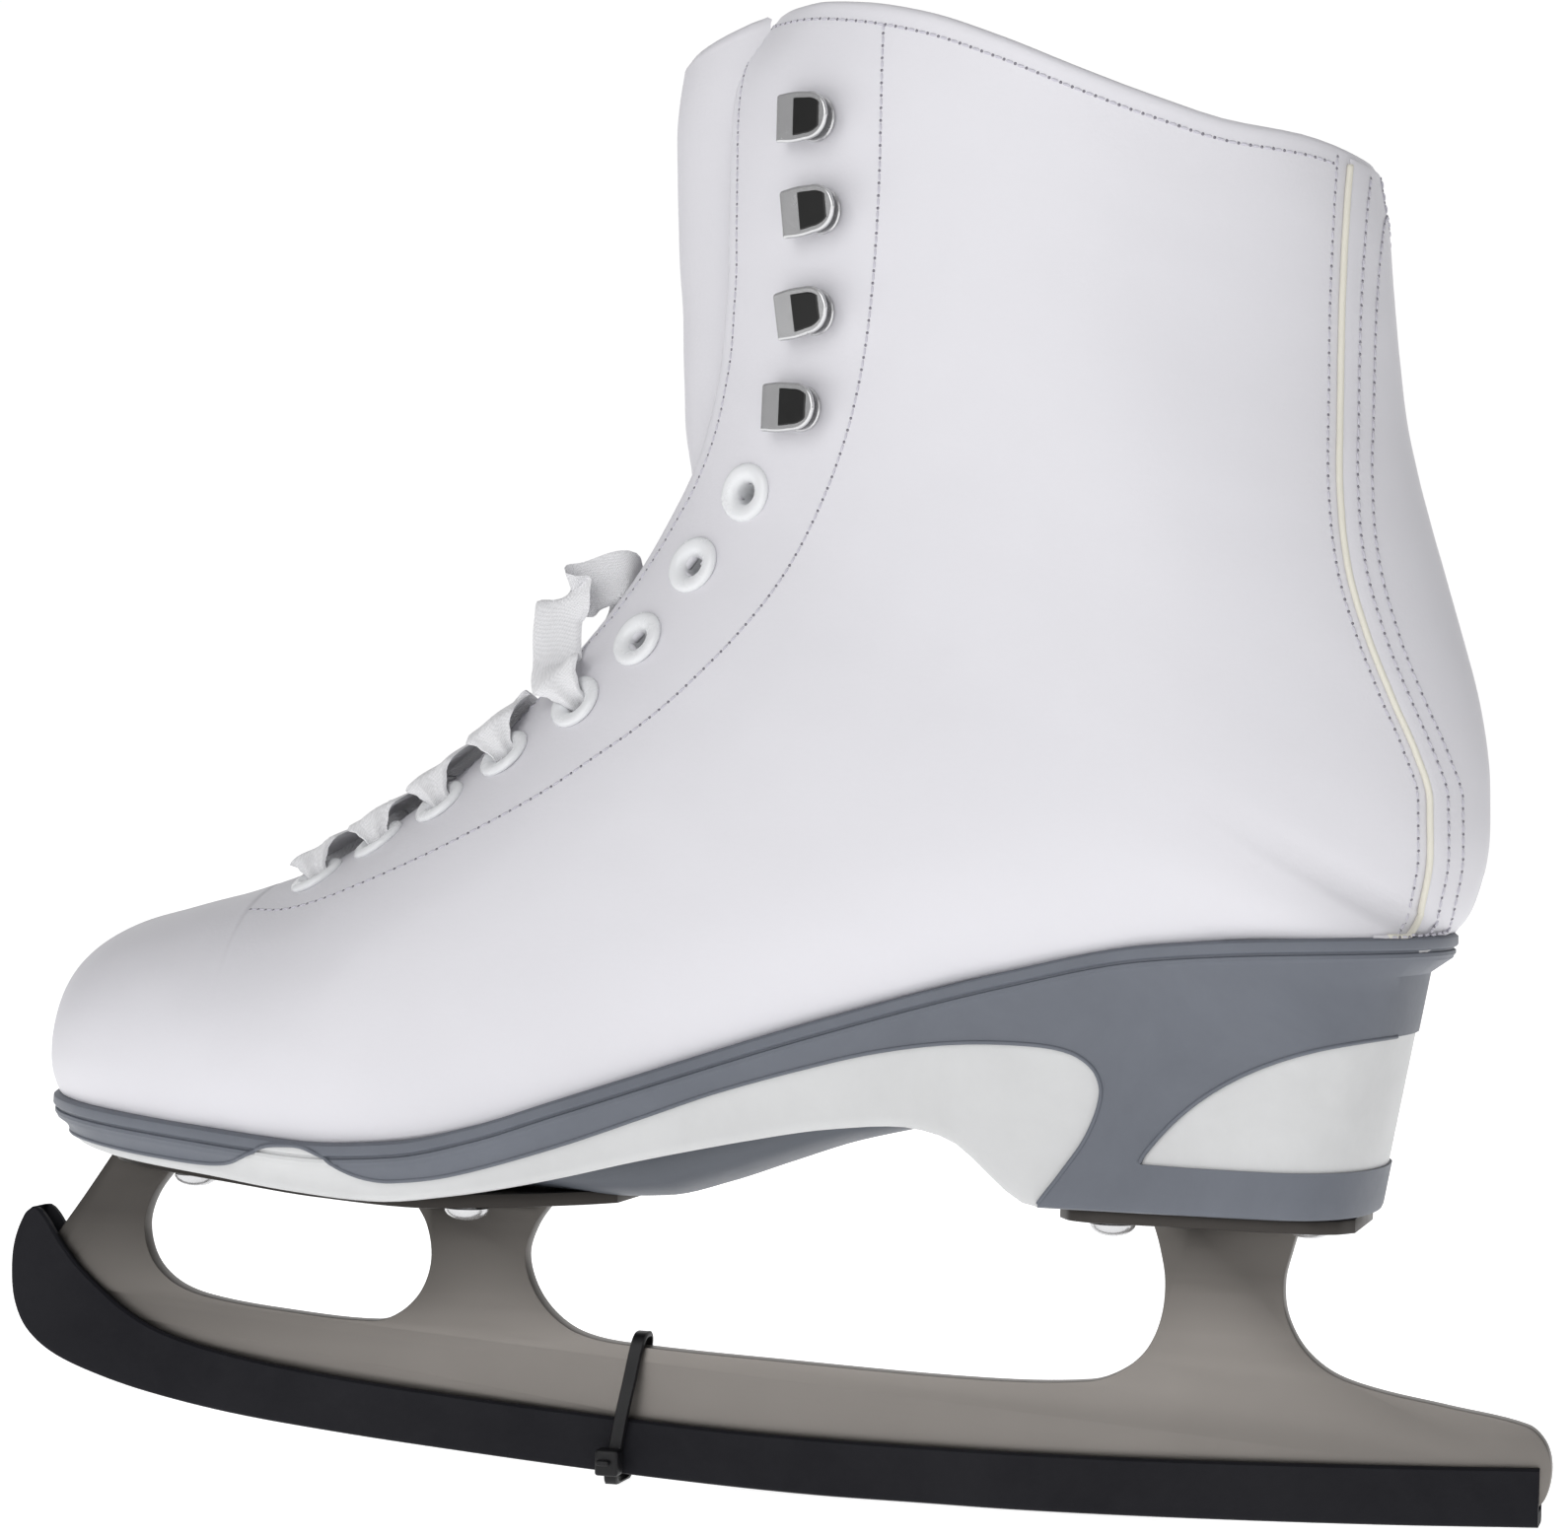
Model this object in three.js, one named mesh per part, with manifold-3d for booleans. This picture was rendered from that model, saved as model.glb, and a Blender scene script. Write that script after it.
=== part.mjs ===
// A white leather figure skate (left foot) with a two-colour heeled sole, a steel blade
// held by a sole plate and a heel plate, and a rubber edge guard tied on for transport.
// Millimetres. +X runs from toe to heel, -Y is the outer side of the foot, +Z is up.
// The origin is under the middle of the skate, at the lowest point of the edge guard.
import * as THREE from 'three';
import { mergeVertices } from 'three/addons/utils/BufferGeometryUtils.js';
import Module from 'manifold-3d';

const wasm = await Module();
wasm.setup();

// ---- driving dimensions -------------------------------------------------------------
const TOE_X = -144;              // foremost point of the upper
const SOLE_TOE_X = -141.4;         // sole outline, front and rear ends
const SOLE_HEEL_X = 131;
const TOE_ROUND = 42;            // length over which the outline rounds off at the toe
const HEEL_ROUND = 30;           // and at the heel
const LEATHER = 2.4;             // thickness of the leather upper
const COUNTER = [2.9, 3.9];      // heel counter, from and to this depth under the outside
const LINING = [4.4, 7.4];       // padded lining, likewise
const GAP = 0.3;                 // clearance between pieces that touch
const BLADE_THICK = 4;
const PLATE_THICK = 2.6;
const GUARD_WIDTH = 8;
const GUARD_WALL_BOTTOM = 3;
const GUARD_END_X = 149;
const TIE_X = -24;               // cable tie round the runner and the guard
const HEEL_SEAT_Z = 58.7;        // underside of the heel
const FOLD_POINT = [5.5, 195];   // X, Z of a point on the line where the cuffs fold
const FOLD_SLOPE_DEG = 25;
const FOLD_GAP = 0.5;
const CUFF_END_X = 101;          // the cuffs stop short of the backstay
const CUFF_HINGE_Y = 39.5;
const TONGUE_HINGE = [-18, 191]; // X, Z of the tongue's fold
const BACKSTAY_HALF = 14;
const EYELET = { bore: 2.4, barrel: 3.4, flange: 5, top: 1.2, below: 3.2 };
const HOOK = { base: 4.8, baseThick: 0.8, rivet: 1.6, reach: 4.4 };
const LACE_RADIUS = 1.5;
const SCREW_LENGTH = 9;
const RIBBON_DEPTH = 6.2;        // how far under the outside the lace runs
const RIBBON_HEIGHT = 4;         // and how far above it

// ---- small helpers ------------------------------------------------------------------
const clamp = (v, lo, hi) => Math.min(hi, Math.max(lo, v));
const rad = THREE.MathUtils.degToRad;
const v3 = (x, y, z) => new THREE.Vector3(x, y, z);

// A smooth curve through [x, value] keys that never overshoots between them.
function curveThrough(keys) {
  const last = keys.length - 1;
  const secant = keys.slice(1).map((k, i) => (k[1] - keys[i][1]) / (k[0] - keys[i][0]));
  const tangent = keys.map((k, i) => {
    if (i === 0) return secant[0];
    if (i === last) return secant[last - 1];
    const product = secant[i - 1] * secant[i];
    return product <= 0 ? 0 : (2 * product) / (secant[i - 1] + secant[i]);
  });
  return (x) => {
    if (x <= keys[0][0]) return keys[0][1];
    if (x >= keys[last][0]) return keys[last][1];
    let i = 0;
    while (x > keys[i + 1][0]) i += 1;
    const h = keys[i + 1][0] - keys[i][0];
    const t = (x - keys[i][0]) / h;
    const a = keys[i][1] * (1 + 2 * t) * (1 - t) ** 2 + h * tangent[i] * t * (1 - t) ** 2;
    return a + keys[i + 1][1] * t * t * (3 - 2 * t) + h * tangent[i + 1] * t * t * (t - 1);
  };
}

function toManifold(geometry) {
  const plain = geometry.clone();
  plain.deleteAttribute('normal');
  plain.deleteAttribute('uv');
  const merged = mergeVertices(plain, 1e-4);
  return new wasm.Manifold(new wasm.Mesh({
    numProp: 3,
    vertProperties: new Float32Array(merged.attributes.position.array),
    triVerts: new Uint32Array(merged.index.array),
  }));
}

function toGeometry(manifold) {
  const mesh = manifold.getMesh();
  const geometry = new THREE.BufferGeometry();
  geometry.setAttribute('position', new THREE.BufferAttribute(new Float32Array(mesh.vertProperties), 3));
  geometry.setIndex(new THREE.BufferAttribute(new Uint32Array(mesh.triVerts), 1));
  geometry.computeVertexNormals();
  return geometry;
}

// A closed body through rings of equal length. A ring runs up one side and down the other,
// so its point i faces its point n - 1 - i, and the two end caps are ladders between them.
function loft(rings) {
  const count = rings[0].length;
  const positions = rings.flat().flatMap((p) => [p.x, p.y, p.z]);
  const index = [];
  for (let r = 0; r + 1 < rings.length; r += 1) {
    for (let i = 0; i < count; i += 1) {
      const a = r * count + i;
      const b = r * count + ((i + 1) % count);
      index.push(a, b, b + count, a, b + count, a + count);
    }
  }
  [0, (rings.length - 1) * count].forEach((base, end) => {
    for (let i = 0; i < Math.floor(count / 2); i += 1) {
      const [a, b] = [base + i, base + i + 1];
      const [c, d] = [base + count - 1 - i, base + count - 2 - i];
      const triangles = b === d ? [[a, c, b]] : [[a, c, b], [b, c, d]];
      triangles.filter((t) => new Set(t).size === 3).forEach((t) => index.push(...(end ? t.reverse() : t)));
    }
  });
  const geometry = new THREE.BufferGeometry();
  geometry.setAttribute('position', new THREE.Float32BufferAttribute(positions, 3));
  let volume = 0;
  for (let i = 0; i < index.length; i += 3) {
    const [p, q, s] = [0, 1, 2].map((k) => v3().fromArray(positions, 3 * index[i + k]));
    volume += p.dot(q.cross(s));
  }
  if (volume < 0) {
    for (let i = 0; i < index.length; i += 3) [index[i], index[i + 1]] = [index[i + 1], index[i]];
  }
  geometry.setIndex(index);
  return geometry;
}

// A side view outline in X and Z, made solid across the skate from y0 to y1.
function sideExtrude(points, y0, y1) {
  const outline = new THREE.Shape(points.map(([x, z]) => new THREE.Vector2(x, z)));
  const geometry = new THREE.ExtrudeGeometry(outline, { depth: y1 - y0, bevelEnabled: false });
  return geometry.rotateX(Math.PI / 2).translate(0, y1, 0);
}

const sideSolid = (points, y0, y1) => toManifold(sideExtrude(points, y0, y1));

function lathe(profile, segments) {
  const points = [...profile, profile[0]].map(([r, z]) => new THREE.Vector2(r, z));
  return new THREE.LatheGeometry(points, segments).rotateX(Math.PI / 2);
}

// A tube of straight runs through the points, mitred where they meet.
function tube(points, radius, sides) {
  const side = v3(0, 0, 0);
  const rings = points.map((p, i) => {
    const before = points[Math.max(i - 1, 0)];
    const after = points[Math.min(i + 1, points.length - 1)];
    const into = p.clone().sub(before).normalize();
    const out = after.clone().sub(p).normalize();
    const along = into.add(out).normalize();
    if (i === 0) side.copy(Math.abs(along.y) < 0.9 ? v3(0, 1, 0) : v3(1, 0, 0));
    side.addScaledVector(along, -side.dot(along)).normalize();
    const up = along.clone().cross(side);
    return Array.from({ length: sides }, (_, k) => {
      const angle = (2 * Math.PI * (k + 0.5)) / sides;
      const reach = p.clone().addScaledVector(side, radius * Math.cos(angle));
      return reach.addScaledVector(up, radius * Math.sin(angle));
    });
  });
  return loft(rings);
}

// ---- the shape of the foot ----------------------------------------------------------
// Height of the line where the upper meets the sole, and of the underside of the sole.
const featherZ = curveThrough([
  [-144, 70.5], [-110, 68.2], [-88, 66.4], [-73, 65.6], [-56, 66.6], [-42, 69.8], [-27, 75], [17, 90.3],
  [53, 101], [80, 107], [106, 109], [134, 110],
]);
const soleBottomZ = curveThrough([
  [-143, 63.5], [-127, 60.4], [-100, 58], [-80, 56], [-60, 55], [-46, 56.5], [-26, 60.5],
  [-12, 64], [8, 68.5], [22, 71], [34, 72], [42, 70.6], [60, HEEL_SEAT_Z], [66, HEEL_SEAT_Z],
]);
const outerWidth = curveThrough([
  [-143, 39], [-100, 42], [-65, 46], [-30, 41.5], [0, 34], [35, 29], [70, 30], [131, 32],
]);
const innerWidth = curveThrough([
  [-143, 38], [-100, 41.5], [-70, 43], [-35, 36], [0, 28.5], [35, 26], [70, 29], [131, 32],
]);
const footAxisY = curveThrough([[-143, 5], [-100, 2], [-60, 0], [131, 0]]);

function roundOff(x) {
  const toe = clamp((SOLE_TOE_X + TOE_ROUND - x) / TOE_ROUND, 0, 1);
  const heel = clamp((x - SOLE_HEEL_X + HEEL_ROUND) / HEEL_ROUND, 0, 1);
  const end = Math.max(toe, heel);
  return (1 - end ** 2.2) ** (1 / 2.2);
}

// Half width of the foot's outline at x, on the outer (-1) or inner (+1) side.
const outlineWidth = (x, side) => (side < 0 ? outerWidth(x) : innerWidth(x)) * roundOff(x);

// Front and top profile of the upper, and sole and back profile, station by station.
const STATIONS = [
  [-140.6, 80, -140.6, 74], [-139.3, 89, -139.4, 71.2], [-134.4, 97, -134.4, 70.2],
  [-125.6, 103, -125.6, 69.5], [-113.4, 107, -113.4, 68.6], [-99, 111, -99, 67.4],
  [-84, 117, -83, 66.2], [-70, 125.3, -66, 66], [-56.8, 135.7, -42, 70], [-45.6, 147, -12, 80.3],
  [-36.2, 158.6, 22, 92], [-28.6, 169.2, 56, 101.8], [-22.8, 179.6, 90, 108], [-18.8, 188.4, 116, 109.4],
  [-15.8, 196.2, 130, 110.5], [-14.3, 204, 135, 120], [-13.4, 212, 136, 133], [-12.9, 221, 134, 150],
  [-12.4, 231, 127, 174], [-12, 243, 119.5, 200], [-11, 256, 116.5, 222], [-8, 267, 115, 236],
  [-0.5, 277, 113, 248],
];
const LAST_STATION = STATIONS.length - 1;
const [frontX, frontZ, backX, backZ] = [0, 1, 2, 3].map((column) => {
  const path = new THREE.SplineCurve(STATIONS.map((row, i) => new THREE.Vector2(i, row[column])));
  return (s) => path.getPoint(clamp(s / LAST_STATION, 0, 1)).y;
});
// Greatest half width of the upper, and where along the station line it lies.
const upperOuter = curveThrough([
  [0, 6.5], [1, 16], [2, 26.5], [3, 35], [4, 40], [5, 43], [6, 45.5], [7, 47], [8, 44.5], [9, 41],
  [10, 38.5], [11, 37.5], [12, 37.5], [14, 37.5], [17, 36.5], [19, 37], [22, 39],
]);
const upperInner = curveThrough([
  [0, 6.5], [1, 16], [2, 26], [3, 34.5], [4, 39.8], [5, 43.6], [6, 46], [7, 44.8], [8, 40.5], [9, 37],
  [10, 36], [11, 36.5], [12, 37.5], [14, 37.5], [17, 36.5], [19, 37], [22, 39],
]);
const widestAt = curveThrough([[0, 0.3], [6, 0.28], [9, 0.3], [12, 0.34], [16, 0.4], [19, 0.45], [22, 0.48]]);
const toeBoxPower = curveThrough([[0, 2.3], [4, 2.3], [6, 2], [22, 2]]);
const SIDE_STEPS = 4;

// A point of the profile, moved inward by depth.
function profilePoint(s, depth, px, pz, inward) {
  const e = 0.05;
  const [a, b] = [clamp(s - e, 0, LAST_STATION), clamp(s + e, 0, LAST_STATION)];
  const along = new THREE.Vector2(px(b) - px(a), pz(b) - pz(a)).normalize();
  return v3(px(s) + inward * along.y * depth, 0, pz(s) - inward * along.x * depth);
}

const frontPoint = (s, depth = 0) => profilePoint(s, depth, frontX, frontZ, 1);
const backPoint = (s, depth = 0) => profilePoint(s, depth, backX, backZ, -1);

// A point of the upper's surface: station s, share v from back to front, on one side.
function upperPoint(s, v, side, depth = 0) {
  const reach = (side < 0 ? upperOuter(s) : upperInner(s)) - depth;
  const wide = widestAt(s);
  const footing = (outlineWidth(backX(s), side) - 1.5) * clamp((16 - s) / 2.5, 0, 1);
  const bottom = clamp(footing / (reach + depth), 0.05, 0.97);
  const low = Math.sqrt(1 - (1 - bottom * bottom) * (Math.max(wide - v, 0) / wide) ** 2);
  const power = toeBoxPower(s);
  const high = (1 - (Math.max(v - wide, 0) / (1 - wide)) ** power) ** (1 / power);
  const y = footAxisY(backX(s)) + side * reach * low * high;
  return backPoint(s, depth).lerp(frontPoint(s, depth), v).setY(y);
}

function upperRing(s, depth) {
  const wide = widestAt(s);
  const shares = Array.from({ length: 2 * SIDE_STEPS }, (_, j) => {
    const angle = (Math.PI / 2) * ((j % SIDE_STEPS) / SIDE_STEPS);
    return j < SIDE_STEPS ? wide * (1 - Math.cos(angle)) : wide + (1 - wide) * Math.sin(angle);
  });
  const outer = shares.map((v) => upperPoint(s, v, -1, depth));
  const inner = shares.map((v) => upperPoint(s, v, 1, depth));
  return [...outer, upperPoint(s, 1, 1, depth).setY(footAxisY(backX(s))), ...inner.reverse()];
}

// The upper as a solid, its surface moved inward by depth. raise opens its top.
function upperSolid(depth, raise = 0) {
  const rings = STATIONS.map((_, s) => upperRing(s, depth));
  if (raise > 0) rings.push(rings[LAST_STATION].map((p) => p.clone().add(v3(1, 0, raise))));
  return toManifold(loft(rings));
}

const upperShell = (from, to) => upperSolid(from).subtract(upperSolid(to, 12));

// ---- cutters ------------------------------------------------------------------------
// The lacing gap, as a slot along the front profile of the given half widths.
const halfGap = curveThrough([
  [5.3, 1], [5.6, 5], [6.1, 7.5], [7.5, 9.5], [10.5, 10.5], [12, 11.5], [14, 12.5], [17, 13.4], [22, 14.5],
]);

function throatCutter(extra, depth) {
  const first = 5.35 - extra / 18;
  const stops = [first, first + 0.35, 6.3, 7, 8, 9, 10, 11, 12, 13, 14, 16, 18, 20, 21, LAST_STATION];
  const rings = stops.map((s) => {
    const half = halfGap(s) + extra * clamp((s - 4.2) / 1.2, 0.5, 1);
    const [top, low] = [frontPoint(s, -14), frontPoint(s, depth)];
    return [[top, -half], [low, -half], [low, half], [top, half]].map(([p, y]) => v3(p.x, y, p.z));
  });
  rings.push(rings[rings.length - 1].map((p) => p.clone().add(v3(2, 0, 16))));
  return toManifold(loft(rings));
}

const BIG = 400;
const foldAngle = rad(FOLD_SLOPE_DEG);
const foldAlong = [Math.cos(foldAngle), Math.sin(foldAngle)];
const foldAcross = [-Math.sin(foldAngle), Math.cos(foldAngle)];

// Everything above the fold line of the cuffs and in front of the backstay.
function cuffRegion(y0, y1, grow) {
  const startZ = (across, along) => [
    FOLD_POINT[0] + foldAlong[0] * along + foldAcross[0] * across,
    FOLD_POINT[1] + foldAlong[1] * along + foldAcross[1] * across,
  ];
  const across = FOLD_GAP / 2 - grow;
  const endX = CUFF_END_X + grow;
  const rearAlong = (endX - FOLD_POINT[0] - foldAcross[0] * across) / foldAlong[0];
  return sideSolid([startZ(across, -BIG), startZ(across, rearAlong), [endX, BIG], [-BIG, BIG]], y0, y1);
}

const outerCuffRegion = cuffRegion(-BIG, -0.6, 0);
const innerCuffRegion = cuffRegion(0.6, BIG, 0);
const allCuffRegion = cuffRegion(-BIG, BIG, FOLD_GAP);

// ---- where the eyelets and hooks sit ------------------------------------------------
// X and Z of each, and the station line that passes it.
const EYELET_PLACES = [
  [-82, 113.8, 6.1], [-69.5, 121, 7.05], [-57, 128.6, 7.9], [-44.6, 138, 8.75], [-30.5, 148, 9.65],
  [-19, 160, 10.65], [-9, 174, 12.15], [1, 187.5, 14],
];
const HOOK_PLACES = [[9.6, 202.7], [12.3, 219.7], [13.4, 238], [12, 255.2]];
const sides = [['outer', -1], ['inner', 1]];

const upperTarget = new THREE.Mesh(toGeometry(upperSolid(0)), new THREE.MeshBasicMaterial());
upperTarget.updateMatrixWorld();

const SEAT_REACH = 2.5;          // how far round it the surface is averaged

// The point of the upper seen from the side at x, z, its outward normal, and the
// direction towards the lacing gap.
function seatAt(x, z, side) {
  const ray = new THREE.Raycaster(v3(x, side * 120, z), v3(0, -side, 0));
  const [centre] = ray.intersectObject(upperTarget);
  const normal = centre.face.normal.clone();
  for (let angle = 0; angle < 2 * Math.PI - 0.01; angle += Math.PI / 3) {
    const [dx, dz] = [SEAT_REACH * Math.cos(angle), SEAT_REACH * Math.sin(angle)];
    ray.set(v3(x + dx, side * 120, z + dz), v3(0, -side, 0));
    normal.add(ray.intersectObject(upperTarget)[0].face.normal);
  }
  normal.normalize();
  const gapward = v3(0, -side, 0);
  gapward.addScaledVector(normal, -gapward.dot(normal)).normalize();
  const turn = new THREE.Matrix4().makeBasis(gapward, normal.clone().cross(gapward), normal);
  const quaternion = new THREE.Quaternion().setFromRotationMatrix(turn);
  return { at: centre.point, normal, gapward, side, turn: quaternion };
}

const eyeletSeats = sides.flatMap(([word, side]) => (
  EYELET_PLACES.map(([x, z, s], i) => ({ name: `eyelet_${word}_${i + 1}`, s, ...seatAt(x, z, side) }))
));
const hookSeats = sides.flatMap(([word, side]) => (
  HOOK_PLACES.map(([x, z], i) => ({ name: `hook_${word}_${i + 1}`, ...seatAt(x, z, side) }))
));
const placed = (geometry, seat) => (
  toManifold(geometry.applyQuaternion(seat.turn).translate(...seat.at.toArray()))
);

// The hole and the flat seat that a piece needs in the leather.
function seatCutter(seat, hole, rim) {
  const profile = [[0, -12], [hole, -12], [hole, -GAP], [rim, -GAP], [rim, 6], [0, 6]];
  return placed(lathe(profile, 8), seat);
}

// ---- materials ----------------------------------------------------------------------
const finish = (color, roughness, metalness) => () => (
  new THREE.MeshStandardMaterial({ color, roughness, metalness })
);
const whiteLeather = finish(0xdedde3, 0.5, 0);
const liningFabric = finish(0xcfcfd2, 0.9, 0);
const greySole = finish(0x6a717a, 0.55, 0);
const whiteSole = finish(0xd9dbdd, 0.45, 0);
const darkSole = finish(0x565b61, 0.55, 0);
const satinSteel = finish(0x8b8580, 0.4, 0.95);
const blackRubber = finish(0x202126, 0.6, 0);
const brightNickel = finish(0xb9b9bb, 0.2, 1);
const whiteEnamel = finish(0xe6e7ea, 0.3, 0.1);
const laceCotton = finish(0xe8e8ea, 0.95, 0);
const boardFibre = finish(0xb59a78, 0.9, 0);

const skate = new THREE.Group();
function add(name, shape, material) {
  const geometry = shape.isBufferGeometry ? shape : toGeometry(shape);
  const mesh = new THREE.Mesh(geometry, material());
  mesh.name = name;
  skate.add(mesh);
  return mesh;
}

function addSeated(geometry, material, seat) {
  const mesh = add(seat.name, geometry, material);
  mesh.position.copy(seat.at);
  mesh.quaternion.copy(seat.turn);
}

// ---- blade, plates and guard --------------------------------------------------------
const ROCKER_FLAT = [15, 55];    // the guard's lowest facet
const rockerZ = curveThrough([
  [-148, 33], [-146, 25.5], [-142, 19.5], [-134, 14.6], [-122, 11], [-104, 7.9], [-82, 5.6], [-59, 3.8],
  [-29, 1.8], [-5, 0.6], [ROCKER_FLAT[0], 0], [ROCKER_FLAT[1], 0], [85, 0.7], [120, 2], [152, 3.6],
]);
const ROCKER_STOPS = [-134, -122, -104, -82, -59, -29, -5, 15, 55, 85, 120];

function bladeOutline(grow) {
  const edge = GUARD_WALL_BOTTOM - grow;
  const bottom = ROCKER_STOPS.map((x) => [x, rockerZ(x) + edge]);
  return [
    [-145.2 - grow, 36 + grow * 0.4], [-146.2 - grow, 31.6], [-144.4 - grow, 30.4],
    [-144.6 - grow, 27.4 - grow * 0.5], [-142.4 - grow, 26.6], [-142 - grow, 23.6 - grow * 0.5],
    [-139.6 - grow * 0.5, 23.2 - grow], [-138.4, 20 - grow],
    ...bottom,
  ];
}

const plateTopZ = curveThrough([
  [-127, 60], [-100, 57.6], [-80, 55.6], [-60, 54.6], [-46, 55.2], [-24, 56.2],
]);
const stanchionTop = (x) => plateTopZ(x) - PLATE_THICK - 2 * GAP;
const HEEL_PLATE_TOP = HEEL_SEAT_Z - GAP;
const heelStanchionTop = HEEL_PLATE_TOP - PLATE_THICK - GAP;

const blade = sideSolid([
  ...bladeOutline(0),
  [147.5, 6], [150, 8.5], [151, 14], [149.8, 18.5], [146.5, 21.6], [132, 24],
  [114, 27], [107.5, 30.5], [103.6, 35.5], [101.6, 43], [103, 50], [105.5, heelStanchionTop],
  [76, heelStanchionTop], [79, 48], [79.6, 40], [77.6, 33], [73.6, 27.6], [67, 24.4],
  [46, 23.6], [7, 24.6], [-25, 26], [-33.5, 27.6], [-39, 31], [-42.8, 36], [-44.4, 42], [-42.4, 48],
  [-39, stanchionTop(-39)], [-68, stanchionTop(-68)], [-64.4, 47], [-63.4, 40], [-65.4, 34], [-69.5, 29.4],
  [-75, 27.2], [-95, 28.4], [-112, 30.4], [-118, 33], [-122, 37.5], [-123.4, 43.5], [-121.6, 50],
  [-116, stanchionTop(-116)],
  [-131, stanchionTop(-126)], [-137, 47.5], [-141.4, 41],
], -BLADE_THICK / 2, BLADE_THICK / 2);
add('blade', blade, satinSteel);

// A plate that follows a height curve, with half widths given along X and screw holes.
function plateSolid(stops, topAt, screws) {
  const rings = stops.map(([x, half]) => {
    const top = topAt(x);
    return [[-half, top], [-half, top - PLATE_THICK], [half, top - PLATE_THICK], [half, top]]
      .map(([y, z]) => v3(x, y, z));
  });
  let plate = toManifold(loft(rings));
  screws.forEach((seat) => {
    plate = plate.subtract(screwHole(seat, -20));
  });
  return plate;
}

const UPRIGHT = new THREE.Quaternion();
const SCREW_HOLE = 2.4;
const screwHole = (seat, from) => {
  const length = SCREW_LENGTH + 1;
  return placed(lathe([[0, from], [SCREW_HOLE, from], [SCREW_HOLE, length], [0, length]], 8), seat);
};
const screwSeat = (name, x, y, top) => ({ name, at: v3(x, y, top - PLATE_THICK - 2 * GAP), turn: UPRIGHT });
const soleScrews = [[-108, -13], [-108, 13], [-52, -15], [-52, 15]].map(([x, y], i) => (
  screwSeat(`sole_screw_${i + 1}`, x, y, plateTopZ(x))
));
const heelScrews = [[72, -14], [72, 14], [108, -14], [108, 14]].map(([x, y], i) => (
  screwSeat(`heel_screw_${i + 1}`, x, y, HEEL_PLATE_TOP)
));
add('sole_plate', plateSolid([
  [-127, 8], [-124, 13], [-116, 18], [-100, 21], [-80, 22], [-60, 22], [-44, 20], [-30, 14], [-24, 9],
], plateTopZ, soleScrews), satinSteel);
add('heel_plate', plateSolid([
  [62, 13], [65, 18], [70, 20], [108, 20], [113, 18], [116, 13],
], () => HEEL_PLATE_TOP, heelScrews), satinSteel);

const screwProfile = [[0, -2], [2.6, -1.5], [4.2, 0], [2, 0], [2, SCREW_LENGTH - 1.5], [0, SCREW_LENGTH]];
[...soleScrews, ...heelScrews].forEach((seat) => addSeated(lathe(screwProfile, 8), brightNickel, seat));

const guardTopZ = (x) => rockerZ(x) + 10.6;
const guardOutline = [
  [-151, 33], [-150.4, 26], [-147.6, 20], [-142, 15.4], ...ROCKER_STOPS.map((x) => [x, rockerZ(x)]),
  [GUARD_END_X, rockerZ(GUARD_END_X)], [GUARD_END_X, guardTopZ(GUARD_END_X)],
  ...[...ROCKER_STOPS].reverse().filter((x) => x > -110).map((x) => [x, guardTopZ(x)]),
  [-120, 24], [-131, 31.5], [-138.5, 39], [-143.6, 46], [-148.6, 46], [-150.6, 40],
];
const channelOutline = [
  ...bladeOutline(0.4), [160, 6], [160, 60], [-141, 60], [-144, 44],
];
const guard = sideSolid(guardOutline, -GUARD_WIDTH / 2, GUARD_WIDTH / 2)
  .subtract(sideSolid(channelOutline, -BLADE_THICK / 2 - 0.35, BLADE_THICK / 2 + 0.35));
add('edge_guard', guard, blackRubber);

// The tie is a strap bent round the guard and the runner, with its lock low on the outer side.
const TIE_HALF = [[4.5, 2], [4.5, 12.6], [2.5, 26.5]];
function tieLoop(lowHalf, lowZ, grow) {
  const half = [[lowHalf + grow, lowZ], ...TIE_HALF.map(([y, z]) => [y + grow, z > 20 ? z + grow : z])];
  const outline = [...half, ...half.map(([y, z]) => [-y, z]).reverse()];
  return outline.map(([y, z]) => new THREE.Vector2(y, z));
}

const tieShape = new THREE.Shape(tieLoop(3.9, 0.2, 1.1));
tieShape.holes.push(new THREE.Path(tieLoop(3.9, 1.2, 0)));
const tieStrap = toManifold(new THREE.ExtrudeGeometry(tieShape, { depth: 2.8, bevelEnabled: false })
  .rotateX(Math.PI / 2).rotateZ(Math.PI / 2).translate(TIE_X - 1.4, 0, 0));
const tieLock = toManifold(new THREE.BoxGeometry(5, 3.6, 4.6).translate(TIE_X, -7.2, 6.5));
add('cable_tie', tieStrap.add(tieLock), blackRubber);

// ---- sole ---------------------------------------------------------------------------
const SOLE_STOPS = [
  -141.4, -140.6, -137, -130, -118, -104, -90, -75, -60, -45, -28, -10, 8, 26, 42, 52, 60, 66, 80, 95,
  106, 116, 123, 128, 131,
];
const LIP = 3.6;                 // height of the rim that grips the upper

// The whole sole: the wall leans in under the rim, most of all round the heel.
function soleSolid(inset) {
  const rings = SOLE_STOPS.map((x) => {
    const lean = clamp((x - 80) / 51, 0, 1);
    const topZ = featherZ(x) - GAP;
    const lowZ = soleBottomZ(x);
    const levels = [
      [topZ, 0.4, 0], [topZ - LIP, 0.4, 0], [topZ - LIP - 1.4, -1.2, 0.25], [lowZ, -2.6 - 2.4 * lean, 1],
    ];
    const wall = (side) => levels.map(([z, out, share]) => {
      const back = 9 * share * lean * lean + (share > 0 ? 3 * lean * lean : 0);
      const half = Math.max(outlineWidth(x, side) + out * roundOff(x) - inset, 1.5);
      return v3(x - back, footAxisY(x) + side * half, z);
    });
    return [...wall(-1), ...wall(1).reverse()];
  });
  return toManifold(loft(rings));
}

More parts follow.
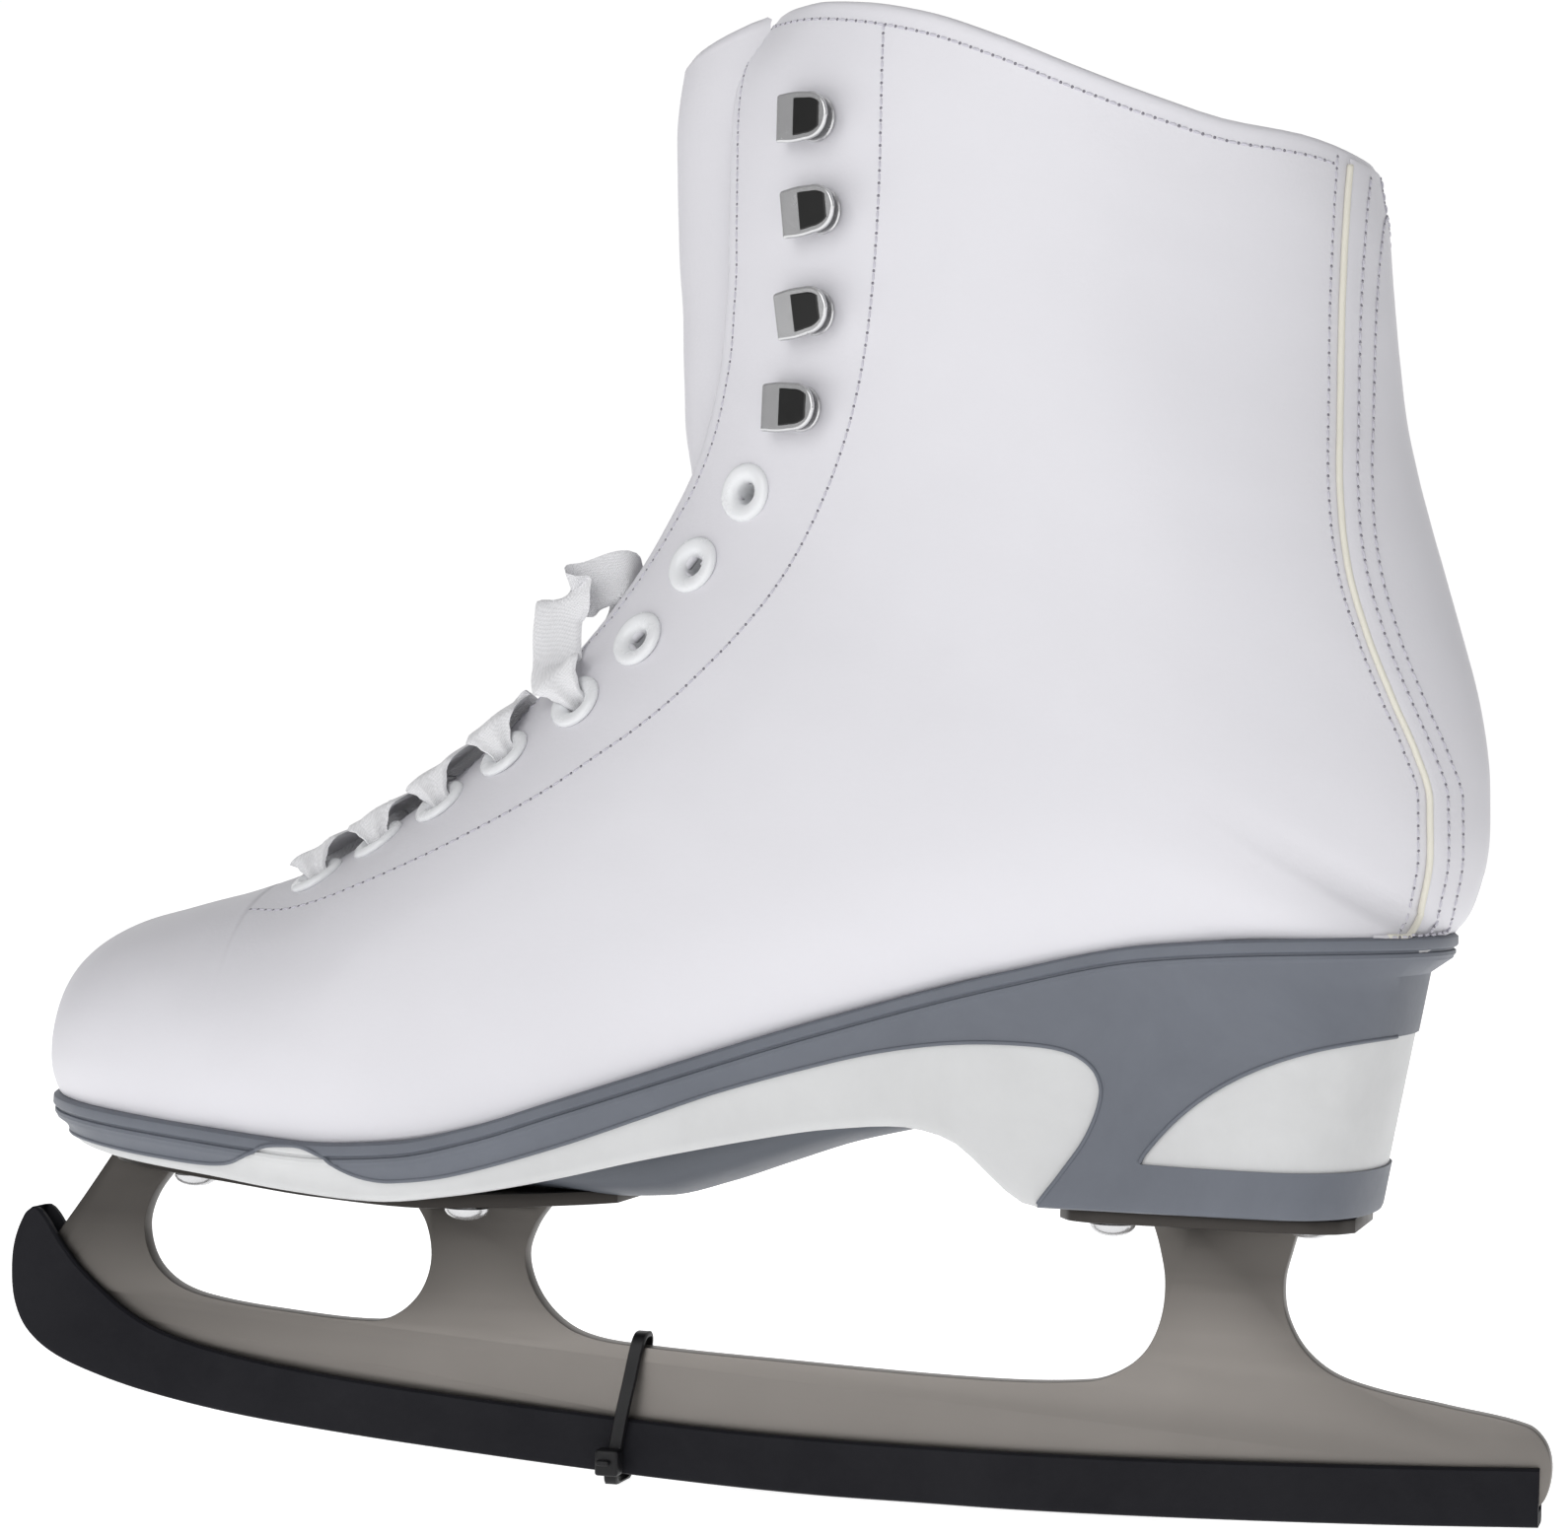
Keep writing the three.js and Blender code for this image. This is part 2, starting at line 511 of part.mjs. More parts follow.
// White mouldings seen from the side: under the forefoot and arch, and inside the heel.
const archOutline = (grow) => [
  [-150, 64.5 + grow], [-138, 62.8 + grow], [-124, 61.8 + grow], [-97, 60.6 + grow], [-88, 61 + grow],
  [-82, 63.4 + grow], [-74, 63 + grow], [-66, 60.2 + grow], [-57, 59 + grow], [-46, 60.4 + grow],
  [-27, 66.3 + grow], [1, 77 + grow], [17, 82 + grow], [30, 85.4 + grow], [44, 87.6 + grow], [58, 88 + grow],
  [67, 86.6 + grow], [71.5 + grow, 83.4], [72 + grow, 79], [69 + grow, 72], [64.6 + grow, 65],
  [59.5 + grow, 58.2], [56, 50], [-150, 50],
];
const heelWindowOutline = (grow) => [
  [78.4 - grow, 67.6 - grow], [150, 67.6 - grow], [150, 92.6 + grow], [126, 91.8 + grow], [113, 90 + grow],
  [103, 87 + grow], [94, 82.6 + grow], [86, 77 + grow], [80.4 - grow, 71 + grow],
];
const footRoom = upperSolid(-GAP);
const wholeSole = soleSolid(0).subtract(footRoom);
const recessedSole = soleSolid(0.7).subtract(footRoom);
const across = [-80, 80];
let screwHoles = null;
[...soleScrews, ...heelScrews].forEach((seat) => {
  screwHoles = screwHoles ? screwHoles.add(screwHole(seat, 2)) : screwHole(seat, 2);
});
add('sole_frame', wholeSole
  .subtract(sideSolid(archOutline(GAP / 2), ...across))
  .subtract(sideSolid(heelWindowOutline(GAP / 2), ...across))
  .subtract(screwHoles), greySole);
const shankOutline = (grow) => [
  [-46, 56.4 - grow], [-24 + grow, 56.4 - grow], [-23 + grow, 54.4 - grow], [-15, 55 - grow],
  [-4, 58 - grow], [8, 62.4 - grow], [21, 67 - grow], [37, 70.4 - grow], [37, 73], [21, 73], [4, 70],
  [-14, 66], [-28, 63], [-46, 59],
];
const shank = sideSolid(shankOutline(0), -17, 17);
add('shank_ridge', shank, darkSole);
const plateRoom = sideSolid([
  [-130, 40], [-20, 40], [-20, 56.5], [-46, 55.5], [-60, 54.9], [-80, 55.9], [-100, 57.9], [-130, 60.6],
], -33, 33);
const shankRoom = sideSolid(shankOutline(GAP), -17 - GAP, 17 + GAP).add(plateRoom);
add('arch_core', recessedSole.intersect(sideSolid(archOutline(-GAP / 2), ...across))
  .subtract(shankRoom).subtract(screwHoles), whiteSole);
add('heel_core', recessedSole.intersect(sideSolid(heelWindowOutline(-GAP / 2), ...across)), whiteSole);

// ---- upper --------------------------------------------------------------------------
const throat = throatCutter(0, 24);
const wideThroat = throatCutter(15, 24);
let fittings = null;
eyeletSeats.forEach((seat) => {
  const cut = seatCutter(seat, EYELET.barrel + GAP, EYELET.flange + GAP);
  fittings = fittings ? fittings.add(cut) : cut;
});
hookSeats.forEach((seat) => {
  fittings = fittings.add(seatCutter(seat, HOOK.rivet + GAP, HOOK.base + GAP));
});

const leather = upperShell(0, LEATHER).subtract(throat).subtract(fittings);
const VAMP_END_X = -66;
const vampRegion = sideSolid([[-BIG, 0], [VAMP_END_X, 0], [VAMP_END_X, BIG], [-BIG, BIG]], ...across);
const vampRoom = sideSolid([[-BIG, 0], [VAMP_END_X + GAP, 0], [VAMP_END_X + GAP, BIG], [-BIG, BIG]], ...across);
const outerHalf = sideSolid([[-BIG, 0], [BIG, 0], [BIG, BIG], [-BIG, BIG]], -BIG, -GAP / 2);
const innerHalf = sideSolid([[-BIG, 0], [BIG, 0], [BIG, BIG], [-BIG, BIG]], GAP / 2, BIG);
const quarters = leather.subtract(vampRoom).subtract(allCuffRegion);
add('vamp', leather.intersect(vampRegion), whiteLeather);
add('outer_quarter', quarters.intersect(outerHalf), whiteLeather);
add('inner_quarter', quarters.intersect(innerHalf), whiteLeather);
add('outer_cuff', leather.intersect(outerCuffRegion), whiteLeather);
add('inner_cuff', leather.intersect(innerCuffRegion), whiteLeather);

const leatherRoom = upperShell(-1, LEATHER + GAP);
const lining = upperShell(...LINING).subtract(wideThroat).subtract(leatherRoom);
add('lining_lower', lining.subtract(allCuffRegion), liningFabric);
add('lining_outer_cuff', lining.intersect(outerCuffRegion), liningFabric);
add('lining_inner_cuff', lining.intersect(innerCuffRegion), liningFabric);

// The stiff counter wraps the heel between leather and lining.
const counterRegion = sideSolid([[60, 118], [BIG, 118], [BIG, 160], [100, 160], [60, 134]], ...across);
add('heel_counter', upperShell(...COUNTER).intersect(counterRegion)
  .subtract(upperSolid(LINING[0] - GAP)).subtract(lining).subtract(leatherRoom), boardFibre);

const backstayRegion = sideSolid([
  [96, 111.5], [BIG, 111.5], [BIG, 252], [CUFF_END_X + 1.2, 252], [CUFF_END_X + 1.2, 225], [96, 200],
], -BACKSTAY_HALF, BACKSTAY_HALF);
add('backstay', upperSolid(-1.5).subtract(upperSolid(-GAP, 12)).intersect(backstayRegion), whiteLeather);

// ---- inside the boot ----------------------------------------------------------------
// A sheet that lies over the sole between two heights, its edge drawn in by inset.
function innerSole(from, to, inset, x0, x1) {
  const count = 14;
  const rings = Array.from({ length: count + 1 }, (_, i) => {
    const x = x0 + (x1 - x0) * (0.5 - 0.5 * Math.cos((Math.PI * i) / count));
    const wall = (side) => {
      const half = Math.max(outlineWidth(x, side) - inset, 3);
      const y = clamp(footAxisY(x), -9, 9) + side * half;
      return [v3(x, y, featherZ(x) + from), v3(x, y, featherZ(x) + to)];
    };
    return [...wall(-1), ...wall(1).reverse()];
  });
  return loft(rings);
}
add('insole_board', innerSole(8.6, 10.8, 13, -128, 117), boardFibre);
add('footbed', innerSole(11.2, 14.6, 13.5, -126, 116), liningFabric);

// ---- tongue -------------------------------------------------------------------------
// Cross sections of the tongue: at station s, how deep its outer face lies, how wide it is.
function tongueRing(at, along, depth, thick, half, sweep) {
  const n = 6;
  const face = (offset) => Array.from({ length: n + 1 }, (_, i) => {
    const t = (2 * i) / n - 1;
    const back = sweep * (1 - Math.cos(t * Math.PI * 0.5)) + offset;
    const p = at.clone().addScaledVector(along, depth + back);
    return p.setY(half * Math.sin(t * Math.PI * 0.5));
  });
  return [...face(0), ...face(thick).reverse()];
}

const inwardAt = (s) => frontPoint(s, 1).sub(frontPoint(s, 0));
const LOWER_TONGUE = { depth: 8.6, thick: 4, sweep: 5.5 };
const LOWER_TONGUE_HALVES = [
  [5.6, 11], [6.5, 12.5], [7.5, 13], [8.5, 12.5], [9.5, 12], [10.5, 12.5], [11.5, 13.5],
];
const lowerTongue = LOWER_TONGUE_HALVES
  .map(([s, half]) => tongueRing(
    frontPoint(s), inwardAt(s), LOWER_TONGUE.depth, LOWER_TONGUE.thick, half, LOWER_TONGUE.sweep));
add('tongue_lower', loft(lowerTongue), whiteLeather);

const upperTongueLevels = [
  [-15.5, 192, 10.2, 5], [-17.4, 202, 10.8, 7], [-18, 216, 11.4, 8], [-19.2, 236, 12, 8],
  [-20, 256, 12.6, 8.5], [-19.4, 270, 13, 8.5], [-18, 277.5, 12.6, 5],
];
const UPPER_TONGUE_SWEEP = 17;
const upperTongue = upperTongueLevels.map(([x, z, half, thick]) => (
  tongueRing(v3(x, 0, z), v3(1, 0, 0), 0, thick, half, UPPER_TONGUE_SWEEP)
));
add('tongue_upper', loft(upperTongue), whiteLeather);

// ---- eyelets and hooks --------------------------------------------------------------
const eyeletProfile = [
  [EYELET.bore, -EYELET.below], [EYELET.barrel, -EYELET.below], [EYELET.barrel, 0], [EYELET.flange, 0],
  [EYELET.flange - 0.7, EYELET.top], [EYELET.bore, EYELET.top],
];
eyeletSeats.forEach((seat) => addSeated(lathe(eyeletProfile, 9), whiteEnamel, seat));

// A base disc with a rivet, a neck on the side of the lacing gap, and a D-shaped lip.
function hookShape() {
  const base = toManifold(lathe([[0, -3.2], [HOOK.rivet, -3.2], [HOOK.rivet, 0], [HOOK.base, 0],
    [HOOK.base, HOOK.baseThick], [0, HOOK.baseThick]], 10));
  const neckShape = new THREE.BoxGeometry(1.2, 6, HOOK.reach);
  const neck = toManifold(neckShape.translate(HOOK.base - 0.9, 0, HOOK.reach / 2 + 0.2));
  const lip = new THREE.Shape();
  lip.moveTo(HOOK.base - 0.2, -4.2);
  lip.lineTo(HOOK.base - 0.2, 4.2);
  lip.lineTo(0, 4.6);
  lip.absarc(-1, 0, 4.6, Math.PI / 2, (3 * Math.PI) / 2, false);
  const plate = new THREE.ExtrudeGeometry(lip, { depth: 1, bevelEnabled: false, curveSegments: 5 });
  return toGeometry(base.add(neck).add(toManifold(plate.translate(0, 0, HOOK.reach - 0.4))));
}
hookSeats.forEach((seat) => addSeated(hookShape(), brightNickel, seat));

// ---- laces --------------------------------------------------------------------------
const seatOf = (i, side) => eyeletSeats[i - 1 + (side < 0 ? 0 : EYELET_PLACES.length)];
const off = (seat, gapward, height) => (
  seat.at.clone().addScaledVector(seat.gapward, gapward).addScaledVector(seat.normal, height)
);
const inHole = (seat) => [off(seat, 0, RIBBON_HEIGHT), off(seat, 0, -RIBBON_DEPTH)];
const outwardAt = (s) => frontPoint(s, 0).sub(frontPoint(s, 1));

// A point on the edge of the lacing gap, lifted (or sunk) by height.
function edgePoint(s, side, height) {
  const y = halfGap(s);
  let [low, high] = [widestAt(s), 1];
  for (let i = 0; i < 30; i += 1) {
    const mid = (low + high) / 2;
    if (Math.abs(upperPoint(s, mid, side).y) > y) low = mid;
    else high = mid;
  }
  return upperPoint(s, low, side).addScaledVector(outwardAt(s), height);
}

const overEdge = (seat) => edgePoint(seat.s, seat.side, LACE_RADIUS + 1.3);
const underEdge = (seat) => edgePoint(seat.s, seat.side, -LEATHER - LACE_RADIUS - 1.2);
const crossing = (i, height) => {
  const s = (seatOf(i, 1).s + seatOf(i + 1, 1).s) / 2;
  return frontPoint(s).addScaledVector(outwardAt(s), height);
};

const LACED_PAIRS = 5;
// The last crossing towards the outer side stands up in a slack loop.
const LOOSE_LOOP = [
  [-37, 1, 152.5], [-33.5, 0, 158.5], [-31, -1, 168], [-34, -4, 176], [-40.5, -8, 177],
  [-45, -11, 170.5], [-44.5, -14, 162], [-40, -17, 156],
];

// From the bar at the lowest pair up one side: each run dives into an eyelet from outside,
// passes under the edge, rises through the gap and goes over the opposite edge.
function laceHalf(startSide, crossHeight) {
  const route = [];
  for (let i = 1; i <= LACED_PAIRS; i += 1) {
    const side = i % 2 ? startSide : -startSide;
    const seat = seatOf(i, side);
    route.push(...inHole(seat));
    if (i === LACED_PAIRS) break;
    route.push(underEdge(seat));
    const loose = i + 1 === LACED_PAIRS && side > 0;
    if (loose) route.push(...LOOSE_LOOP.map((p) => v3(...p)));
    else route.push(crossing(i, crossHeight), overEdge(seatOf(i + 1, -side)));
  }
  return route;
}

const bar = [overEdge(seatOf(1, -1)), overEdge(seatOf(1, 1))];
const laceRoute = [...laceHalf(-1, 0.8).reverse(), ...bar, ...laceHalf(1, -3.4)];
add('lace_lacing', tube(laceRoute, LACE_RADIUS, 8), laceCotton);

// The free ends are folded into hanks and lie tucked inside the heel of the boot.
const HANK = { x0: 6, x1: 108, half: 9.5, lift: 15.2, high: 7 };
function hankShape(side) {
  const middle = side * 11.2;
  const rings = Array.from({ length: 9 }, (_, i) => {
    const t = i / 8;
    const x = HANK.x0 + (HANK.x1 - HANK.x0) * t;
    const end = Math.sqrt(1 - Math.abs(2 * t - 1) ** 6 * 0.8);
    const base = featherZ(x) + HANK.lift;
    const half = HANK.half * end;
    const wall = [[0.8, 0], [1, 0.3], [1, 0.7], [0.8, 1]];
    return [...wall.map(([out, up]) => [-out, up]), ...[...wall].reverse()]
      .map(([out, up]) => v3(x, middle + half * out, base + HANK.high * up));
  });
  return loft(rings);
}
sides.forEach(([word, side]) => {
  const seat = seatOf(LACED_PAIRS, side);
  const points = [
    off(seat, -4.2, -5.5), off(seat, -8, -7.5), v3(-15, side * 19.5, 132.5), v3(-6, side * 18, 121),
    v3(-1, side * 15, 110),
    v3(HANK.x0 - 1.9, side * 12, featherZ(HANK.x0) + HANK.lift + 3.5),
  ];
  add(`lace_tail_${word}`, tube(points, LACE_RADIUS, 8), laceCotton);
  add(`lace_hank_${word}`, hankShape(side), laceCotton);
});

export default skate;
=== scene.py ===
"""Looks of a white leather figure skate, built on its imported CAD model. Metres, +Z up."""
import math

import bmesh
import bpy
from mathutils import Matrix, Vector, noise
from mathutils.bvhtree import BVHTree


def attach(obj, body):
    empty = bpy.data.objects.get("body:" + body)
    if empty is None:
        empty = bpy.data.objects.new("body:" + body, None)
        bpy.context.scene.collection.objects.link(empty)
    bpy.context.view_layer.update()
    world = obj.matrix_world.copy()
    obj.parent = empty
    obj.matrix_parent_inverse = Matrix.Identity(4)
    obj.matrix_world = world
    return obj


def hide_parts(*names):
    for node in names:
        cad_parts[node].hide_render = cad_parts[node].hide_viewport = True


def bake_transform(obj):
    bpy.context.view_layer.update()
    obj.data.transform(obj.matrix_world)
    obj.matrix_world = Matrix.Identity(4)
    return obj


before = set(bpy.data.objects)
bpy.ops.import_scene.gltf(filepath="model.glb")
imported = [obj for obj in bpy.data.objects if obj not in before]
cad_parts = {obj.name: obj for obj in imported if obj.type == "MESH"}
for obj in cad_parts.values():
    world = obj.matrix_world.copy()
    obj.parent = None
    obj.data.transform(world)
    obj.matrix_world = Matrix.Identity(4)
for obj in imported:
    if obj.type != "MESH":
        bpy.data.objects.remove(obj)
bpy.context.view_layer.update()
scene = bpy.context.scene
MM = 0.001

# ---- camera and light -----------------------------------------------------------------
TARGET = Vector((0.004, 0, 0.1366))
CAMERA_TURN = math.radians(15)
CAMERA_ROLL = math.radians(1.5)
CAMERA_AWAY = 0.8
LENS_MM = 96.86
SENSOR_MM = 36
CLIP_START = 0.05


def add_camera():
    ahead = Vector((-math.sin(CAMERA_TURN), math.cos(CAMERA_TURN), 0))
    level = ahead.cross(Vector((0, 0, 1)))
    right = level * math.cos(CAMERA_ROLL) + Vector((0, 0, 1)) * math.sin(CAMERA_ROLL)
    up = right.cross(ahead)
    data = bpy.data.cameras.new("camera")
    data.lens = LENS_MM
    data.sensor_width = SENSOR_MM
    data.clip_start = CLIP_START
    camera = bpy.data.objects.new("camera", data)
    scene.collection.objects.link(camera)
    turn = Matrix((right, up, -ahead)).transposed().to_4x4()
    camera.matrix_world = Matrix.Translation(TARGET - ahead * CAMERA_AWAY) @ turn
    scene.camera = camera


def add_area(name, place, aim, size, power, colour=(1, 1, 1)):
    data = bpy.data.lights.new(name, "AREA")
    data.shape = "RECTANGLE"
    data.size, data.size_y = size
    data.energy = power
    data.color = colour
    lamp = bpy.data.objects.new(name, data)
    scene.collection.objects.link(lamp)
    lamp.location = place
    lamp.rotation_euler = (Vector(aim) - Vector(place)).to_track_quat("-Z", "Y").to_euler()


add_camera()
scene.view_settings.view_transform = "Standard"
add_area("key", (-0.5, -1.7, 0.9), (0, 0, 0.15), (1.5, 1.5), 14.2)
add_area("fill", (1.5, -1.2, 0.7), (0, 0, 0.12), (1.2, 1.2), 2)
add_area("top", (0.0, 0.1, 1.7), (0, 0, 0.1), (1.6, 1.2), 2.4)
add_area("back", (0.2, 1.5, 1.0), (0, 0, 0.15), (1.4, 1.0), 0.8)


def add_world():
    """White behind the object, as the photograph has, and a softer grey all round."""
    world = bpy.data.worlds.new("studio")
    scene.world = world
    world.use_nodes = True
    tree = world.node_tree
    coord = tree.nodes.new("ShaderNodeTexCoord")
    dot = tree.nodes.new("ShaderNodeVectorMath")
    dot.operation = "DOT_PRODUCT"
    dot.inputs[1].default_value = (-math.sin(CAMERA_TURN), math.cos(CAMERA_TURN), 0)
    tree.links.new(coord.outputs["Generated"], dot.inputs[0])
    spread = tree.nodes.new("ShaderNodeMapRange")
    spread.interpolation_type = "SMOOTHSTEP"
    for name, value in (("From Min", 0.72), ("From Max", 0.94), ("To Min", 0.3), ("To Max", 1.02)):
        spread.inputs[name].default_value = value
    tree.links.new(dot.outputs["Value"], spread.inputs["Value"])
    tree.links.new(spread.outputs["Result"], tree.nodes["Background"].inputs["Strength"])
    tree.nodes["Background"].inputs["Color"].default_value = (1, 1, 1, 1)


add_world()


# ---- materials ------------------------------------------------------------------------
class Look:
    """A Principled material and short ways of adding the nodes that vary it."""

    def __init__(self, name, colour, rough, **sockets):
        self.mat = bpy.data.materials.new(name)
        self.mat.use_nodes = True
        self.tree = self.mat.node_tree
        self.shader = self.tree.nodes["Principled BSDF"]
        self.set("Base Color", (*colour, 1))
        self.set("Roughness", rough)
        for key, value in sockets.items():
            self.set(key.replace("_", " "), value)
        self.height = None

    def set(self, key, value):
        self.shader.inputs[key].default_value = value

    def node(self, kind, **values):
        node = self.tree.nodes.new(kind)
        for key, value in values.items():
            if key in node.inputs:
                node.inputs[key].default_value = value
            else:
                setattr(node, key, value)
        return node

    def link(self, a, b):
        self.tree.links.new(a, b)

    def place(self, stretch=(1, 1, 1), turn=(0, 0, 0)):
        coords = self.node("ShaderNodeTexCoord")
        mapping = self.node("ShaderNodeMapping")
        mapping.inputs["Scale"].default_value = stretch
        mapping.inputs["Rotation"].default_value = turn
        self.link(coords.outputs["Object"], mapping.inputs["Vector"])
        return mapping.outputs["Vector"]

    def noise(self, scale, detail=4, rough=0.55, stretch=(1, 1, 1), warp=0):
        node = self.node("ShaderNodeTexNoise", Scale=scale, Detail=detail, Roughness=rough)
        node.inputs["Distortion"].default_value = warp
        self.link(self.place(stretch), node.inputs["Vector"])
        return node.outputs["Fac"]

    def cells(self, scale, feature="F1", stretch=(1, 1, 1)):
        node = self.node("ShaderNodeTexVoronoi", feature=feature)
        node.inputs["Scale"].default_value = scale
        self.link(self.place(stretch), node.inputs["Vector"])
        return node.outputs["Distance"]

    def waves(self, scale, turn=(0, 0, 0), warp=0.0):
        node = self.node("ShaderNodeTexWave")
        node.inputs["Scale"].default_value = scale
        node.inputs["Distortion"].default_value = warp
        self.link(self.place(turn=turn), node.inputs["Vector"])
        return node.outputs["Fac"]

    def ramp(self, source, stops):
        node = self.node("ShaderNodeValToRGB")
        ramp = node.color_ramp
        while len(ramp.elements) < len(stops):
            ramp.elements.new(0.5)
        for element, (at, colour) in zip(ramp.elements, stops):
            element.position = at
            element.color = (*colour, 1) if len(colour) == 3 else colour
        self.link(source, node.inputs["Fac"])
        return node.outputs["Color"]

    def scale(self, source, low, high):
        node = self.node("ShaderNodeMapRange")
        node.inputs["To Min"].default_value = low
        node.inputs["To Max"].default_value = high
        self.link(source, node.inputs["Value"])
        return node.outputs["Result"]

    def mix(self, share, a, b):
        node = self.node("ShaderNodeMix", data_type="RGBA")
        for value, index in ((a, 6), (b, 7)):
            if isinstance(value, tuple):
                node.inputs[index].default_value = (*value, 1)
            else:
                self.link(value, node.inputs[index])
        if isinstance(share, float):
            node.inputs[0].default_value = share
        else:
            self.link(share, node.inputs[0])
        return node.outputs[2]

    def colour(self, source):
        self.link(source, self.shader.inputs["Base Color"])
        return self

    def rough(self, source):
        self.link(source, self.shader.inputs["Roughness"])
        return self

    def bump(self, source, strength, depth):
        node = self.node("ShaderNodeBump")
        node.inputs["Strength"].default_value = strength
        node.inputs["Distance"].default_value = depth
        self.link(source, node.inputs["Height"])
        if self.height:
            self.link(self.height, node.inputs["Normal"])
        self.height = node.outputs["Normal"]
        self.link(self.height, self.shader.inputs["Normal"])
        return self


def leather_look(name, tint, rough=0.46):
    look = Look(name, tint, rough, Coat_Weight=0.06, Coat_Roughness=0.35)
    soil = look.noise(28, 5, 0.6)
    warm = tuple(c * k for c, k in zip(tint, (0.985, 0.975, 0.965)))
    look.colour(look.mix(look.scale(soil, 0.0, 0.55), tint, warm))
    look.rough(look.scale(look.noise(60, 4), rough - 0.07, rough + 0.1))
    look.bump(look.noise(14, 3), 0.25, 0.0012)
    look.bump(look.cells(1500, "SMOOTH_F1"), 0.16, 0.00012)
    look.bump(look.noise(2600, 3, 0.7), 0.1, 0.00008)
    return look.mat


def moulded_look(name, tint, rough, grain=0.3, wear=0.5):
    look = Look(name, tint, rough)
    cloud = look.noise(35, 6, 0.65, warp=0.4)
    wear_and_painted_shade = tuple(min(1, c * 1.22 + 0.015) for c in tint)
    dark = tuple(c * 0.9 for c in tint)
    patch = look.ramp(cloud, [(0.35, (0, 0, 0)), (0.75, (1, 1, 1))])
    look.colour(look.mix(look.scale(patch, 0, wear), dark, wear_and_painted_shade))
    look.rough(look.scale(look.noise(140, 5, 0.7), rough - 0.08, rough + 0.12))
    look.bump(look.noise(900, 3, 0.6), grain, 0.0001)
    look.bump(look.noise(50, 3), 0.2, 0.0005)
    return look.mat


def steel_look(name, tint, rough, run=(1, 1, 1)):
    look = Look(name, tint, rough, Metallic=1.0)
    lines = look.noise(420, 6, 0.7, stretch=run)
    cloud = look.noise(22, 4)
    deep = tuple(c * 0.8 for c in tint)
    pale = tuple(min(1, c * 1.12) for c in tint)
    ground = look.mix(look.mix(0.35, cloud, lines), deep, pale)
    # Painted shade: the colour is darkened towards the toe and towards the top of the piece, standing in for
    # the fall-off of the steel's reflection.
    split = look.node("ShaderNodeSeparateXYZ")
    look.link(look.place(), split.inputs[0])
    along, up = look.node("ShaderNodeMapRange"), look.node("ShaderNodeMapRange")
    for node, axis, values in ((along, "X", (-0.12, 0.06, 0.8, 1.45)), (up, "Z", (0.022, 0.046, 1.0, 0.4))):
        for key, value in zip(("From Min", "From Max", "To Min", "To Max"), values):
            node.inputs[key].default_value = value
        look.link(split.outputs[axis], node.inputs["Value"])
    wear_and_painted_shade = look.node("ShaderNodeMath", operation="MULTIPLY")
    look.link(along.outputs["Result"], wear_and_painted_shade.inputs[0])
    look.link(up.outputs["Result"], wear_and_painted_shade.inputs[1])
    look.colour(look.mix(wear_and_painted_shade.outputs[0], (0, 0, 0), ground))
    look.rough(look.scale(lines, rough - 0.06, rough + 0.12))
    look.bump(lines, 0.22, 0.00006)
    return look.mat


def plain_metal(name, tint, rough):
    look = Look(name, tint, rough, Metallic=0.8)
    look.rough(look.scale(look.noise(300, 5, 0.7), rough - 0.05, rough + 0.14))
    look.bump(look.noise(700, 4, 0.7), 0.08, 0.00006)
    return look.mat


def weave_look(name, tint, pitch, shade=0.82):
    """Threads that cross at right angles, seen along each of two slanted directions."""
    look = Look(name, tint, 0.92, Sheen_Weight=0.25, Sheen_Roughness=0.5)
    first = look.waves(1 / pitch, (0, math.radians(90), math.radians(45)))
    second = look.waves(1 / pitch, (math.radians(45), 0, math.radians(-45)))
    fuzz = look.noise(2400, 3, 0.7)
    threads = look.mix(0.5, first, second)
    dark = tuple(c * shade for c in tint)
    look.colour(look.mix(look.mix(0.3, threads, fuzz), dark, tint))
    look.bump(threads, 0.35, 0.0003)
    look.bump(fuzz, 0.2, 0.0001)
    return look.mat


LEATHER = leather_look("white_leather", (0.652, 0.647, 0.685))
TONGUE = leather_look("tongue_leather", (0.62, 0.615, 0.65), 0.5)
GREY = moulded_look("grey_sole", (0.116, 0.128, 0.155), 0.5, 0.25, 0.45)
GREY_DARK = moulded_look("shank_grey", (0.085, 0.094, 0.112), 0.5, 0.25, 0.3)
WHITE = moulded_look("white_moulding", (0.60, 0.605, 0.61), 0.42, 0.15, 0.3)
STEEL = steel_look("blade_steel", (0.215, 0.2, 0.186), 0.42, (0.06, 1, 1))
STEEL_CUT = steel_look("cut_steel", (0.1, 0.092, 0.086), 0.42)
NICKEL = plain_metal("nickel", (0.6, 0.6, 0.61), 0.2)
# Painted reflection: this near-black nickel is laid on each hook's dished lip to stand for the dark that the
# lip reflects.
NICKEL_DARK = plain_metal("nickel_painted_reflection", (0.035, 0.035, 0.035), 0.3)
RUBBER = moulded_look("guard_rubber", (0.006, 0.006, 0.009), 0.62, 0.3, 0.3)
NYLON = moulded_look("black_nylon", (0.003, 0.003, 0.004), 0.42, 0.1, 0.2)
for mat, level in ((RUBBER, 0.16), (NYLON, 0.3)):
    mat.node_tree.nodes["Principled BSDF"].inputs["Specular IOR Level"].default_value = level
ENAMEL = moulded_look("white_enamel", (0.80, 0.81, 0.83), 0.24, 0.03, 0.12)
LACE = weave_look("lace_weave", (0.80, 0.80, 0.82), 0.0011)
LINING = weave_look("lining_fabric", (0.62, 0.62, 0.63), 0.0009, 0.9)
FOOTBED = weave_look("footbed_fabric", (0.56, 0.57, 0.60), 0.0012, 0.85)
